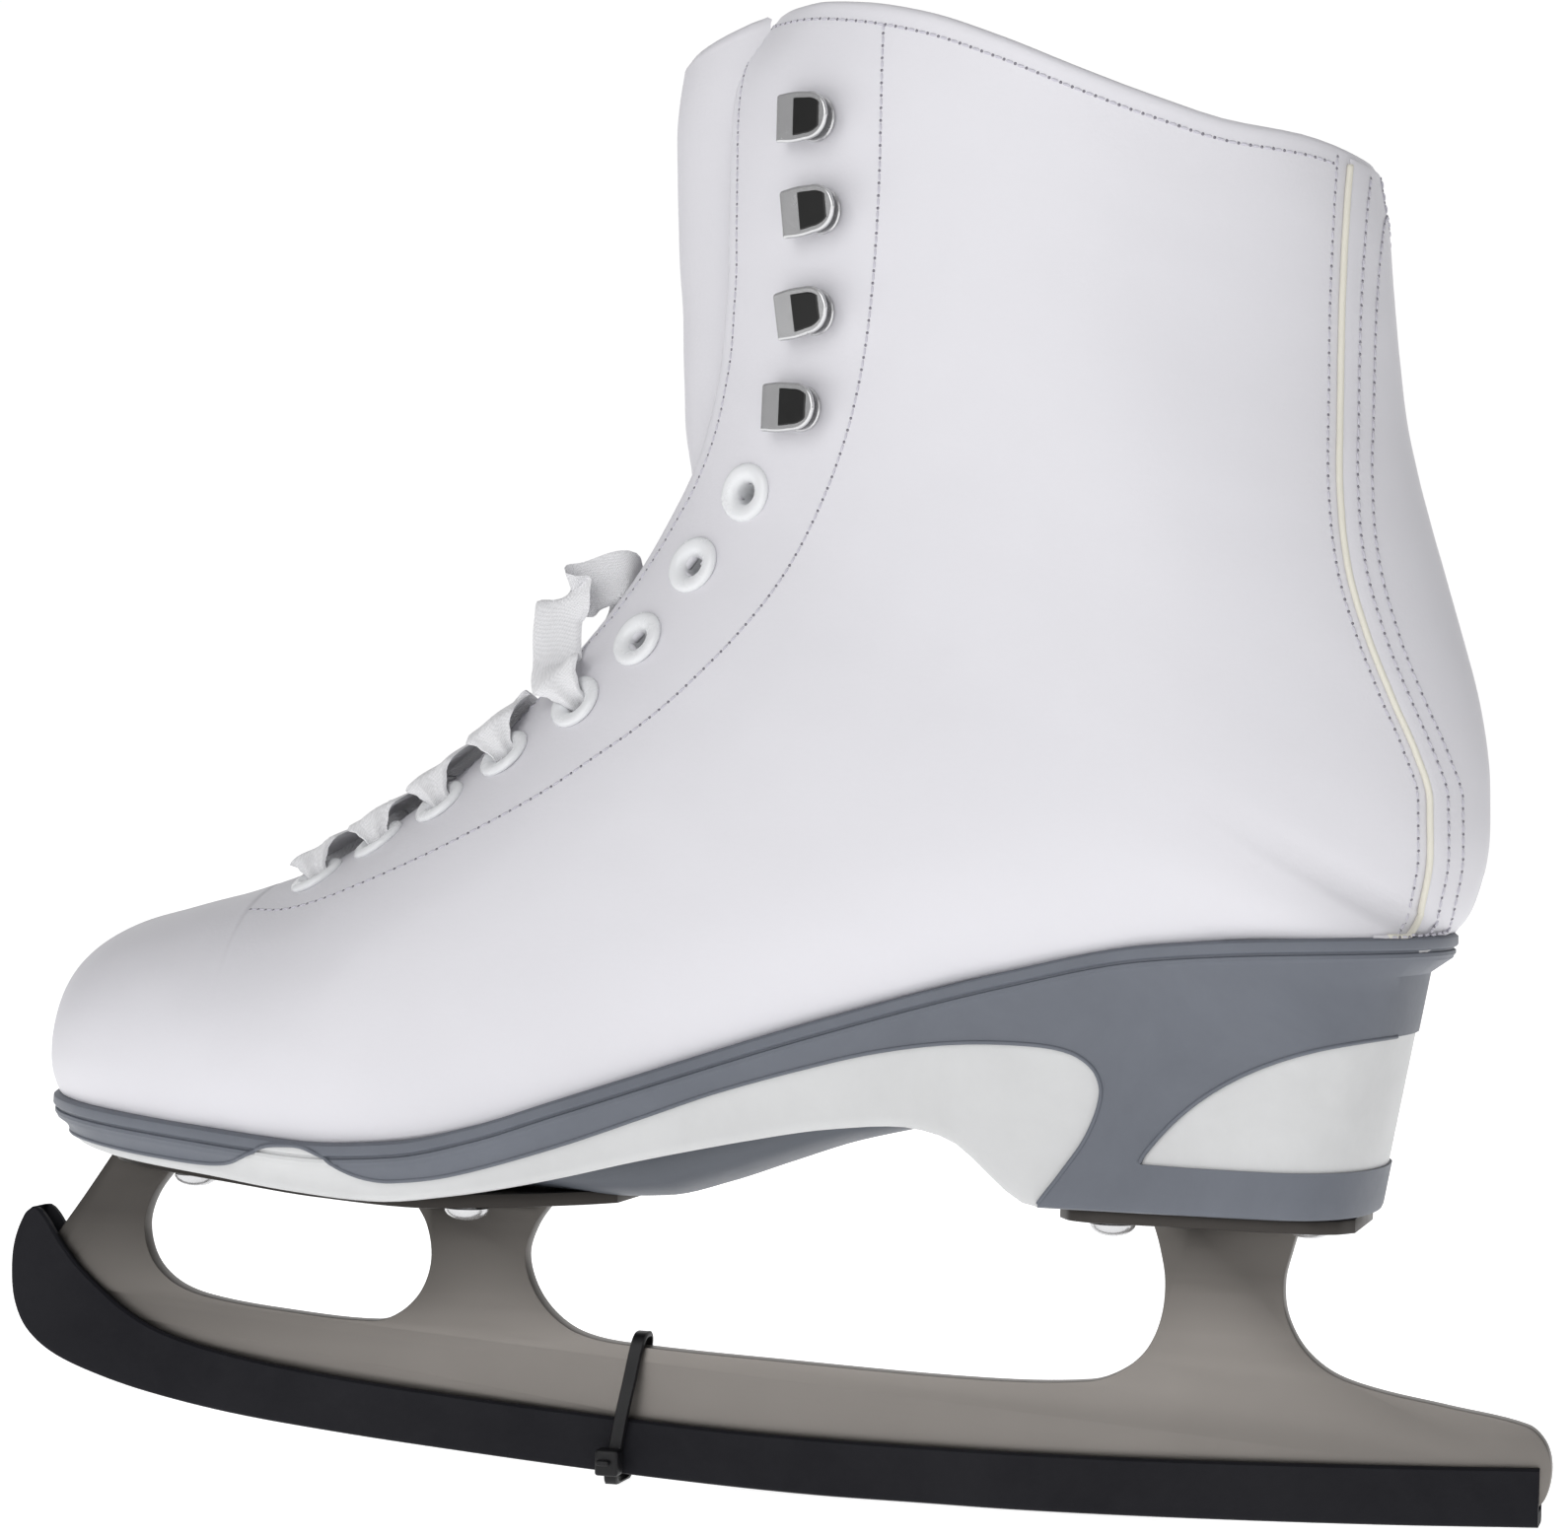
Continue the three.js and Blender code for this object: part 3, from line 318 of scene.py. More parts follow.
BOARD = moulded_look("fibre_board", (0.44, 0.32, 0.2), 0.8, 0.5, 0.6)
THREAD = moulded_look("thread", (0.55, 0.54, 0.60), 0.7, 0.3, 0.3)
# Painted shade: the needle holes' dark grey stands for the dark inside each hole.
HOLE = moulded_look("needle_hole", (0.27, 0.26, 0.3), 0.8, 0.3, 0.3)
PIPING = leather_look("cream_piping", (0.68, 0.66, 0.58), 0.55)
FLOOR = moulded_look("floor", (0.85, 0.85, 0.85), 0.7, 0.02, 0.02)
FLOOR_SHADER = FLOOR.node_tree.nodes["Principled BSDF"]
FLOOR_SHADER.inputs["Emission Color"].default_value = (1, 1, 1, 1)
FLOOR_SHADER.inputs["Emission Strength"].default_value = 0.92


# ---- curves and the shape of the boot (millimetres) -----------------------------------
def curve_through(keys):
    """A smooth curve through (x, value) keys that never overshoots between them."""
    xs = [k[0] for k in keys]
    ys = [k[1] for k in keys]
    secant = [(ys[i + 1] - ys[i]) / (xs[i + 1] - xs[i]) for i in range(len(xs) - 1)]
    slope = [secant[0]]
    for before, after in zip(secant, secant[1:]):
        slope.append(0 if before * after <= 0 else 2 * before * after / (before + after))
    slope.append(secant[-1])

    def value(x):
        if x <= xs[0]:
            return ys[0]
        if x >= xs[-1]:
            return ys[-1]
        i = max(j for j in range(len(xs)) if xs[j] <= x)
        h = xs[i + 1] - xs[i]
        t = (x - xs[i]) / h
        start = ys[i] * (1 + 2 * t) * (1 - t) ** 2 + h * slope[i] * t * (1 - t) ** 2
        return start + ys[i + 1] * t * t * (3 - 2 * t) + h * slope[i + 1] * t * t * (t - 1)

    return value


def spline_through(values):
    last = len(values) - 1

    def value(s):
        p = min(max(s, 0), last)
        i = min(int(p), last)
        t = p - i
        p0 = values[max(i - 1, 0)]
        p1 = values[i]
        p2 = values[min(i + 1, last)]
        p3 = values[min(i + 2, last)]
        v0 = (p2 - p0) * 0.5
        v1 = (p3 - p1) * 0.5
        a = 2 * p1 - 2 * p2 + v0 + v1
        b = -3 * p1 + 3 * p2 - 2 * v0 - v1
        return ((a * t + b) * t + v0) * t + p1

    return value


def clamp(v, lo=0.0, hi=1.0):
    return min(hi, max(lo, v))


def smooth(t):
    t = clamp(t)
    return t * t * (3 - 2 * t)


feather_z = curve_through([
    (-144, 70.5), (-110, 68.2), (-88, 66.4), (-73, 65.6), (-56, 66.6), (-42, 69.8), (-27, 75),
    (17, 90.3), (53, 101), (80, 107), (106, 109), (134, 110)])
sole_bottom_z = curve_through([
    (-143, 63.5), (-127, 60.4), (-100, 58), (-80, 56), (-60, 55), (-46, 56.5), (-26, 60.5),
    (-12, 64), (8, 68.5), (22, 71), (34, 72), (42, 70.6), (60, 58.7), (66, 58.7)])
outer_width = curve_through([
    (-143, 39), (-100, 42), (-65, 46), (-30, 41.5), (0, 34), (35, 29), (70, 30), (131, 32)])
inner_width = curve_through([
    (-143, 38), (-100, 41.5), (-70, 43), (-35, 36), (0, 28.5), (35, 26), (70, 29), (131, 32)])
foot_axis_y = curve_through([(-143, 5), (-100, 2), (-60, 0), (131, 0)])
SOLE_TOE_X, SOLE_HEEL_X, TOE_ROUND, HEEL_ROUND = -141.4, 131, 42, 30


def round_off(x):
    toe = clamp((SOLE_TOE_X + TOE_ROUND - x) / TOE_ROUND)
    heel = clamp((x - SOLE_HEEL_X + HEEL_ROUND) / HEEL_ROUND)
    return (1 - max(toe, heel) ** 2.2) ** (1 / 2.2)


def outline_width(x, side):
    return (outer_width(x) if side < 0 else inner_width(x)) * round_off(x)


STATIONS = [
    (-140.6, 80, -140.6, 74), (-139.3, 89, -139.4, 71.2), (-134.4, 97, -134.4, 70.2),
    (-125.6, 103, -125.6, 69.5), (-113.4, 107, -113.4, 68.6), (-99, 111, -99, 67.4),
    (-84, 117, -83, 66.2), (-70, 125.3, -66, 66), (-56.8, 135.7, -42, 70), (-45.6, 147, -12, 80.3),
    (-36.2, 158.6, 22, 92), (-28.6, 169.2, 56, 101.8), (-22.8, 179.6, 90, 108),
    (-18.8, 188.4, 116, 109.4), (-15.8, 196.2, 130, 110.5), (-14.3, 204, 135, 120),
    (-13.4, 212, 136, 133), (-12.9, 221, 134, 150), (-12.4, 231, 127, 174), (-12, 243, 119.5, 200),
    (-11, 256, 116.5, 222), (-8, 267, 115, 236), (-0.5, 277, 113, 248)]
LAST = len(STATIONS) - 1
front_x, front_z, back_x, back_z = (spline_through([row[i] for row in STATIONS]) for i in range(4))
upper_outer = curve_through([
    (0, 6.5), (1, 16), (2, 26.5), (3, 35), (4, 40), (5, 43), (6, 45.5), (7, 47), (8, 44.5),
    (9, 41), (10, 38.5), (11, 37.5), (12, 37.5), (14, 37.5), (17, 36.5), (19, 37), (22, 39)])
upper_inner = curve_through([
    (0, 6.5), (1, 16), (2, 26), (3, 34.5), (4, 39.8), (5, 43.6), (6, 46), (7, 44.8), (8, 40.5),
    (9, 37), (10, 36), (11, 36.5), (12, 37.5), (14, 37.5), (17, 36.5), (19, 37), (22, 39)])
widest_at = curve_through([
    (0, 0.3), (6, 0.28), (9, 0.3), (12, 0.34), (16, 0.4), (19, 0.45), (22, 0.48)])
toe_box_power = curve_through([(0, 2.3), (4, 2.3), (6, 2), (22, 2)])
collar_z = curve_through([
    (-3, 277), (13, 276.6), (22, 275.4), (36, 272.2), (50, 267.2), (64, 261.5), (78, 256.4),
    (92, 252.5), (104, 251.3), (114, 248.6)])
edge_x = curve_through([
    (112, -94.5), (117.1, -83.8), (124.9, -70.6), (133.3, -59), (142.4, -48.8), (152.5, -39.2),
    (160, -33), (165, -28.4), (178, -19.5), (184, -16), (190, -12.8), (198, -9.4), (205, -7.5),
    (217, -5.7), (233, -4.9), (260, -5.5), (266, -5), (277, -4)])
THROAT_START = 5.25


def profile_point(s, depth, px, pz, inward):
    a, b = max(s - 0.05, 0), min(s + 0.05, LAST)
    along = Vector((px(b) - px(a), pz(b) - pz(a))).normalized()
    return Vector((px(s) + inward * along.y * depth, 0, pz(s) - inward * along.x * depth))


def front_point(s, depth=0.0):
    return profile_point(s, depth, front_x, front_z, 1)


def back_point(s, depth=0.0):
    return profile_point(s, depth, back_x, back_z, -1)


def skin(s, v, side, depth=0.0):
    """A point of the upper: station s, share v from back to front, on one side of the foot."""
    reach = (upper_outer(s) if side < 0 else upper_inner(s)) - depth
    wide = widest_at(s)
    base = back_x(s)
    footing = (outline_width(base, side) - 1.5) * clamp((16 - s) / 2.5) * clamp(s / 1.5)
    bottom = clamp(footing / (reach + depth), 0.0, 0.97)
    low = math.sqrt(max(0, 1 - (1 - bottom * bottom) * (max(wide - v, 0) / wide) ** 2))
    power = toe_box_power(s)
    high = max(0, 1 - (max(v - wide, 0) / (1 - wide)) ** power) ** (1 / power)
    back, front = back_point(s, depth), front_point(s, depth)
    p = back.lerp(front, v)
    p.y = foot_axis_y(base) + side * reach * low * high
    top = smooth((s - 17) / 5)
    if top > 0:
        rim = back_point(LAST, depth).lerp(front_point(LAST, depth), v)
        p.z += top * (collar_z(rim.x) - rim.z)
    return p


def edge_share(s, side, back_by=0.0):
    """v at the edge of the lacing gap, or that many millimetres behind it."""
    if s <= THROAT_START:
        return 1.0
    low, high = widest_at(s), 1.0
    for _ in range(34):
        mid = (low + high) / 2
        p = skin(s, mid, side)
        if p.x > edge_x(p.z):
            low = mid
        else:
            high = mid
    share = low + (1 - low) * (1 - smooth((s - THROAT_START) / 0.55)) ** 2
    if back_by <= 0:
        return share
    edge = skin(s, share, side)
    low, high = widest_at(s) * 0.5, share
    for _ in range(30):
        mid = (low + high) / 2
        if (skin(s, mid, side) - edge).length > back_by:
            low = mid
        else:
            high = mid
    return low


# ---- making meshes --------------------------------------------------------------------
def make(name, points, faces, mat, shade=True, scale=MM):
    mesh = bpy.data.meshes.new(name)
    mesh.from_pydata([tuple(c * scale for c in p) for p in points], [], faces)
    return finish_mesh(name, mesh, mat, shade)


def finish_mesh(name, mesh, mat, shade=True, sharp=None):
    bm = bmesh.new()
    bm.from_mesh(mesh)
    bmesh.ops.remove_doubles(bm, verts=bm.verts, dist=1e-6)
    bmesh.ops.recalc_face_normals(bm, faces=bm.faces)
    bm.to_mesh(mesh)
    bm.free()
    for polygon in mesh.polygons:
        polygon.use_smooth = shade
    if sharp is not None:
        mesh.set_sharp_from_angle(angle=math.radians(sharp))
    if mat:
        mesh.materials.append(mat)
    obj = bpy.data.objects.new(name, mesh)
    scene.collection.objects.link(obj)
    return obj


def thick_sheet(points, faces, thickness, rim_steps=4):
    """Gives a surface its thickness below it, with a rounded rim along every free edge."""
    bm = bmesh.new()
    verts = [bm.verts.new(p) for p in points]
    for face in faces:
        corners = [verts[i] for i in face]
        if len(set(corners)) > 2:
            try:
                bm.faces.new(list(dict.fromkeys(corners)))
            except ValueError:
                continue
    bmesh.ops.remove_doubles(bm, verts=bm.verts, dist=1e-3)
    loose = [v for v in bm.verts if not v.link_faces]
    bmesh.ops.delete(bm, geom=loose, context="VERTS")
    bm.normal_update()
    bm.verts.index_update()
    tops = [v.co.copy() for v in bm.verts]
    normals = [v.normal.copy() for v in bm.verts]
    depth = [thickness(p) if callable(thickness) else thickness for p in tops]
    count = len(tops)
    all_points = tops + [p - n * d for p, n, d in zip(tops, normals, depth)]
    all_faces = []
    for face in bm.faces:
        ring = [v.index for v in face.verts]
        all_faces.append(ring)
        all_faces.append([i + count for i in reversed(ring)])
    out = {}
    rims = []
    for edge in bm.edges:
        if len(edge.link_faces) != 1:
            continue
        loop = next(l for l in edge.link_faces[0].loops if l.edge == edge)
        a, b = loop.vert.index, loop.link_loop_next.vert.index
        rims.append((a, b))
        side = (tops[b] - tops[a]).cross(normals[a] + normals[b]).normalized()
        for i in (a, b):
            out[i] = out.get(i, Vector()) + side
    rows = {}
    for i, side in out.items():
        side = (side - normals[i] * side.dot(normals[i])).normalized()
        half = depth[i] / 2
        rows[i] = [i]
        for k in range(1, rim_steps):
            angle = math.pi * k / rim_steps
            spot = tops[i] - normals[i] * half * (1 - math.cos(angle))
            all_points.append(spot + side * min(half, 1.1) * math.sin(angle))
            rows[i].append(len(all_points) - 1)
        rows[i].append(i + count)
    for a, b in rims:
        for k in range(rim_steps):
            all_faces.append([rows[b][k], rows[a][k], rows[a][k + 1], rows[b][k + 1]])
    bm.free()
    return all_points, all_faces


def lathe(name, profile, steps, seat, mat, sharp=None):
    """Turns a closed (radius, height) profile round a seat's axis."""
    points = []
    for k in range(steps):
        angle = 2 * math.pi * k / steps
        for r, h in profile:
            points.append(seat @ Vector((r * math.cos(angle), r * math.sin(angle), h)))
    n = len(profile)
    faces = []
    for k in range(steps):
        for i in range(n):
            j = (i + 1) % n
            if profile[i][0] == 0 and profile[j][0] == 0:
                continue
            faces.append([k * n + i, k * n + j, ((k + 1) % steps) * n + j, ((k + 1) % steps) * n + i])
    mesh = bpy.data.meshes.new(name)
    mesh.from_pydata([tuple(p * MM) for p in points], [], faces)
    return finish_mesh(name, mesh, mat, True, sharp)


def loft_faces(rows, count, closed=True, caps=True):
    faces = []
    for r in range(rows - 1):
        for i in range(count if closed else count - 1):
            j = (i + 1) % count
            faces.append([r * count + i, r * count + j, (r + 1) * count + j, (r + 1) * count + i])
    if caps:
        faces.append(list(range(count))[::-1])
        faces.append([(rows - 1) * count + i for i in range(count)])
    return faces


def rest_on(obj, body, *nodes, slot=None):
    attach(obj, body)
    if nodes:
        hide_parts(*nodes)
    return obj


# ---- where the boot opens -------------------------------------------------------------
FOLD_AT = Vector((0.003, 0, 0.195))
FOLD_TILT = math.radians(30.2)
FOLD_ACROSS = Vector((-math.sin(FOLD_TILT), 0, math.cos(FOLD_TILT)))
FOLD_FROM, FOLD_TO = -0.008, 0.006


def above_fold(p):
    return (Vector(p) - FOLD_AT).dot(FOLD_ACROSS)


def bend_with_cuff(obj):
    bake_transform(obj)


def cut_at_fold(obj):
    """Cuts a piece of the upper where the fold begins: the boot's part and the two cuffs."""
    mesh = obj.data
    plane = FOLD_AT + FOLD_ACROSS * FOLD_FROM
    parts = {}
    for word, low, side in (("boot", True, 0), ("outer", False, -1), ("inner", False, 1)):
        bm = bmesh.new()
        bm.from_mesh(mesh)
        geom = bm.verts[:] + bm.edges[:] + bm.faces[:]
        bmesh.ops.bisect_plane(bm, geom=geom, dist=1e-7, plane_co=plane, plane_no=FOLD_ACROSS)
        gone = []
        for face in bm.faces:
            centre = face.calc_center_median()
            over = (centre - plane).dot(FOLD_ACROSS) > 0
            if over == low or (side and centre.y * side < 0):
                gone.append(face)
        bmesh.ops.delete(bm, geom=gone, context="FACES")
        part = mesh.copy()
        bm.to_mesh(part)
        bm.free()
        piece = bpy.data.objects.new(f"{obj.name}_{word}", part)
        scene.collection.objects.link(piece)
        parts[word] = piece
    bpy.data.objects.remove(obj)
    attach(parts["boot"], "boot")
    for word in ("outer", "inner"):
        bend_with_cuff(parts[word])
    return parts


# ---- the leather upper ----------------------------------------------------------------
EYELET_PLACES = [
    (-82, 113.8), (-69.5, 121), (-57, 128.6), (-44.6, 138), (-30.5, 148), (-19, 160), (-9, 174),
    (1, 187.5)]
HOOK_PLACES = [(9.6, 202.7), (12.3, 219.7), (13.4, 238), (12, 255.2)]
SIDES = (("outer", -1), ("inner", 1))
ROWS_PER_STATION = 8
BACK_COLUMNS, FRONT_COLUMNS = 18, 58
CORNER = 15.0


def station_rows(step=ROWS_PER_STATION):
    rows = [i / step for i in range(LAST * step + 1)]
    extra = [THROAT_START + k * 0.045 for k in range(14)]
    return sorted({round(s, 4) for s in rows if not 5.2 < s < 5.9} | {round(s, 4) for s in extra})


def ripple(p, size=0.22):
    """Slow hollows and swellings, as in leather that is stretched over a last."""
    return size * (noise.noise(Vector(p) / 24) + 0.6 * noise.noise(Vector(p) / 9 + Vector((7, 1, 3))))


def rim_drop(away):
    """How far the collar's front corner is rounded down, this far along from the edge."""
    return CORNER - math.sqrt(max(0, CORNER ** 2 - (CORNER - away) ** 2)) if away < CORNER else 0.0


def upper_sheet(depth=0.0, back_by=0.0, top=0.0, rows_per_station=ROWS_PER_STATION, columns=FRONT_COLUMNS):
    """Points and faces of the upper's surface, open at the gap, the sole line and the top."""
    rows = station_rows(rows_per_station)
    points, faces = [], []
    span = BACK_COLUMNS + columns + 1
    for s in rows:
        for side in (-1, 1):
            wide = widest_at(s)
            edge = edge_share(s, side, back_by)
            reach = clamp((edge - wide) / (1 - wide), 0, 1)
            last = math.asin(reach)
            rim = skin(LAST, edge_share(LAST, side, back_by), side, depth)
            for j in range(span):
                if j < BACK_COLUMNS:
                    v = wide * (1 - math.cos(math.pi / 2 * j / BACK_COLUMNS))
                else:
                    v = wide + (1 - wide) * math.sin(last * (j - BACK_COLUMNS) / columns)
                p = skin(s, v, side, depth)
                if s > 19:
                    away = (skin(LAST, v, side, depth) - rim).length
                    p.z -= (rim_drop(away) + top) * smooth((s - 19) / 3)
                points.append(p)
    nose = len(points)
    points.append((points[0] + points[span - 1]) / 2 + Vector((-0.5 + depth, 0, 0)))
    for j in range(span - 1):
        faces += [[nose, j + 1, j], [nose, span + j, span + j + 1]]
    for r in range(len(rows) - 1):
        for k in range(2):
            for j in range(span - 1):
                a = (2 * r + k) * span + j
                b = a + 2 * span
                faces.append([a, a + 1, b + 1, b] if k == 0 else [a, b, b + 1, a + 1])
    return points, faces


def swell(points, faces, amount):
    """Moves a sheet's points along their normals by amount(point)."""
    bm = bmesh.new()
    verts = [bm.verts.new(p) for p in points]
    for face in faces:
        try:
            bm.faces.new([verts[i] for i in face])
        except ValueError:
            continue
    bmesh.ops.remove_doubles(bm, verts=bm.verts, dist=1e-3)
    bmesh.ops.dissolve_degenerate(bm, dist=1e-4, edges=bm.edges)
    loose = [v for v in bm.verts if not v.link_faces]
    bmesh.ops.delete(bm, geom=loose, context="VERTS")
    bmesh.ops.recalc_face_normals(bm, faces=bm.faces)
    bm.normal_update()
    out = sum((v.co - Vector((0, 0, 140))).dot(v.normal) for v in bm.verts)
    if out < 0:
        bmesh.ops.reverse_faces(bm, faces=bm.faces)
        bm.normal_update()
    moved = [v.co + v.normal * amount(v.co) for v in bm.verts]
    for v, p in zip(bm.verts, moved):
        v.co = p
    bm.normal_update()
    bm.verts.index_update()
    result = [v.co.copy() for v in bm.verts], [[v.index for v in f.verts] for f in bm.faces]
    bm.free()
    return result


plain_points, plain_faces = upper_sheet()
leather_points, leather_faces = swell(plain_points, plain_faces, ripple)
leather_tree = BVHTree.FromPolygons(leather_points, leather_faces)


def seat_at(x, z, side):
    """The point of the leather seen from the side, its outward normal and a turned frame."""
    spot, normal, _, _ = leather_tree.ray_cast(Vector((x, side * 120, z)), Vector((0, -side, 0)))
    total = Vector()
    for k in range(8):
        angle = math.pi / 4 * k
        start = Vector((x + 3 * math.cos(angle), side * 120, z + 3 * math.sin(angle)))
        hit = leather_tree.ray_cast(start, Vector((0, -side, 0)))
        if hit[1]:
            total += hit[1] if hit[1].y * side > 0 else -hit[1]
    normal = total.normalized()
    gapward = Vector((0, -side, 0))
    gapward = (gapward - normal * gapward.dot(normal)).normalized()
    turn = Matrix((gapward, normal.cross(gapward), normal)).transposed().to_4x4()
    return Matrix.Translation(spot) @ turn


def seats_at(places):
    return {(w, i + 1): seat_at(x, z, side) for w, side in SIDES for i, (x, z) in enumerate(places)}


eyelet_seats = seats_at(EYELET_PLACES)
hook_seats = seats_at(HOOK_PLACES)
EYELET_HOLE = 3.1


def with_holes(points, faces, radius):
    """Leaves out the faces round each eyelet's axis."""
    kept = []
    axes = [(m.translation.copy(), m.col[2].to_3d()) for m in eyelet_seats.values()]
    for face in faces:
        centre = sum((points[i] for i in face), Vector()) / len(face)
        hit = False
        for at, axis in axes:
            away = centre - at
            if abs(away.dot(axis)) < 14 and (away - axis * away.dot(axis)).length < radius:
                hit = True
                break
        if not hit:
            kept.append(face)
    return kept


holed = with_holes(leather_points, leather_faces, EYELET_HOLE)
shell = make("upper", *thick_sheet(leather_points, holed, 2.2), LEATHER)
leather = cut_at_fold(shell)
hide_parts("vamp", "outer_quarter", "inner_quarter")
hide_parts("outer_cuff")
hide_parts("inner_cuff")


def lining_thickness(p):
    hem = min(1.0, max(0.0, (collar_z(p.x) - p.z) / 9)) if p.z > 240 else 1.0
    facing = smooth((p.x - edge_x(p.z) - 9) / 9)
    return 0.8 + (0.8 + 2.6 * hem) * facing


def under_leather(depth):
    points, faces = upper_sheet(back_by=1.6, top=1.3, rows_per_station=5, columns=40)
    return swell(points, faces, lambda p: -depth)


lining_points, lining_faces = under_leather(2.5)
lining_shell = make("lining", *thick_sheet(lining_points, with_holes(lining_points, lining_faces, 4.2),
                                           lining_thickness), LINING)
lining = cut_at_fold(lining_shell)
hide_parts("lining_lower")
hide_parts("lining_outer_cuff")
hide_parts("lining_inner_cuff")


# ---- the sole -------------------------------------------------------------------------
def plan_loop(steps=64):
    """The sole's outline seen from above, from the toe round the outer side and back."""
    stops = [SOLE_TOE_X + TOE_ROUND * (1 - math.cos(math.pi / 2 * i / 26)) for i in range(27)]
    straight = (SOLE_HEEL_X - HEEL_ROUND) - stops[-1]
    stops += [stops[-1] + straight * (i + 1) / steps for i in range(steps)]
    stops += [SOLE_HEEL_X - HEEL_ROUND + HEEL_ROUND * math.sin(math.pi / 2 * (i + 1) / 22) for i in range(22)]
    walls = []
    for side in (-1, 1):
        walls.append([Vector((x, foot_axis_y(x) + side * outline_width(x, side), 0)) for x in stops])
    return walls[0] + walls[1][::-1][1:-1]


PLAN = plan_loop()
PLAN_OUT = []
for k, spot in enumerate(PLAN):
    ahead = (PLAN[(k + 1) % len(PLAN)] - PLAN[k - 1]).normalized()
    PLAN_OUT.append(Vector((ahead.y, -ahead.x, 0)))
if PLAN_OUT[30].y > 0:
    PLAN_OUT = [-n for n in PLAN_OUT]
RIM = [
    (0.0, -0.5), (0.15, 0.55), (0.55, 1.05), (2.0, 1.1), (2.35, 0.85), (2.55, 0.35), (2.85, 0.3),
    (3.05, 0.7), (3.7, 0.7), (4.1, 0.35), (4.5, -0.35)]
WALL_LEVELS = 16


def sole_point(k, level, inset=0.0):
    """A point of the sole's side: rim levels first, then the wall, then the lower edge."""
    at, out = PLAN[k], PLAN_OUT[k]
    lean = clamp((at.x - 80) / 51)
    top, low = feather_z(at.x), sole_bottom_z(at.x)
    foot = -2.6 - 2.4 * lean
    if level < len(RIM):
        down, push = RIM[level]
        share, z = 0.0, top - down
    elif level < len(RIM) + WALL_LEVELS:
        t = (level - len(RIM) + 1) / WALL_LEVELS
        start = top - RIM[-1][0]
        share = 0.12 + 0.88 * t
        z = start + (low + 1.1 - start) * t
        push = RIM[-1][1] + (foot - RIM[-1][1]) * t - 0.5 * math.sin(math.pi * t) * (1 - lean)
    else:
        push = foot - (0.35 if level == len(RIM) + WALL_LEVELS else 1.2)
        share = 1.0
        z = low + (0.3 if level == len(RIM) + WALL_LEVELS else 0.0)
    back = (4 * share + (3 if share > 0 else 0)) * lean * lean
    p = at + out * (push - inset)
    return Vector((p.x - back, p.y, z))


SOLE_LEVELS = len(RIM) + WALL_LEVELS + 2


def sole_solid(name, inset, mat):
    count = len(PLAN)
    points = [sole_point(k, level, inset if level >= len(RIM) - 1 else inset + 0.6)
              for level in range(SOLE_LEVELS) for k in range(count)]
    faces = []
    for level in range(SOLE_LEVELS - 1):
        for k in range(count):
            j = (k + 1) % count
            faces.append([level * count + k, level * count + j,
                          (level + 1) * count + j, (level + 1) * count + k])
    half = count // 2
    for base in (0, (SOLE_LEVELS - 1) * count):
        for k in range(half):
            a, b = base + k, base + k + 1
            c, d = base + (count - k - 1) % count, base + (count - k) % count
            ring = list(dict.fromkeys([a, b, c, d]))
            if len(ring) > 2:
                faces.append(ring)
    return make(name, points, faces, mat)


def rounded(points, closed=True, per=8, corners=()):
    """A smooth line through points, with sharp corners where they are named."""
    out = []
    n = len(points)
    spans = n if closed else n - 1
    for i in range(spans):
        p1, p2 = Vector(points[i]), Vector(points[(i + 1) % n])
        p0 = Vector(points[i - 1]) if (closed or i > 0) else p1
        p3 = Vector(points[(i + 2) % n]) if (closed or i + 2 < n) else p2
        chord = (p2 - p1).length
        m1 = (p2 - p0) * (chord / max((p2 - p1).length + (p1 - p0).length, 1e-6))
        m2 = (p3 - p1) * (chord / max((p3 - p2).length + (p2 - p1).length, 1e-6))
        if i in corners:
            m1 = p2 - p1
        if (i + 1) % n in corners:
            m2 = p2 - p1
        for k in range(per):
            t = k / per
            a = p1 * (1 + 2 * t) * (1 - t) ** 2 + m1 * t * (1 - t) ** 2
            out.append(a + p2 * t * t * (3 - 2 * t) + m2 * t * t * (t - 1))
    if not closed:
        out.append(Vector(points[-1]))
    return out


def side_block(name, outline, y0, y1, mat=None, bevel=0.0):
    """An outline in X and Z made solid from y0 to y1."""
    n = len(outline)
    points = [Vector((p[0], y, p[1])) for y in (y0, y1) for p in outline]
    faces = [list(range(n)), list(range(n, 2 * n))[::-1]]
    faces += [[i, (i + 1) % n, n + (i + 1) % n, n + i] for i in range(n)]
    obj = make(name, points, faces, mat, shade=False)
    if bevel:
        add_bevel(obj, bevel)
    return obj


def apply_modifiers(obj):
    graph = bpy.context.evaluated_depsgraph_get()
    mesh = bpy.data.meshes.new_from_object(obj.evaluated_get(graph))
    obj.modifiers.clear()
    obj.data = mesh


def add_bevel(obj, width, segments=2, angle=35):
    bevel = obj.modifiers.new("bevel", "BEVEL")
    bevel.width = width * MM
    bevel.segments = segments
    bevel.limit_method = "ANGLE"
    bevel.angle_limit = math.radians(angle)
    bevel.harden_normals = False
    apply_modifiers(obj)
    shade_by_angle(obj, 40)


def shade_by_angle(obj, degrees):
    for polygon in obj.data.polygons:
        polygon.use_smooth = True
    obj.data.set_sharp_from_angle(angle=math.radians(degrees))


def combine(obj, other, kind):
    cut = obj.modifiers.new("cut", "BOOLEAN")
    cut.operation = kind
    cut.solver = "EXACT"
    cut.object = other
    apply_modifiers(obj)
    bpy.data.objects.remove(other)


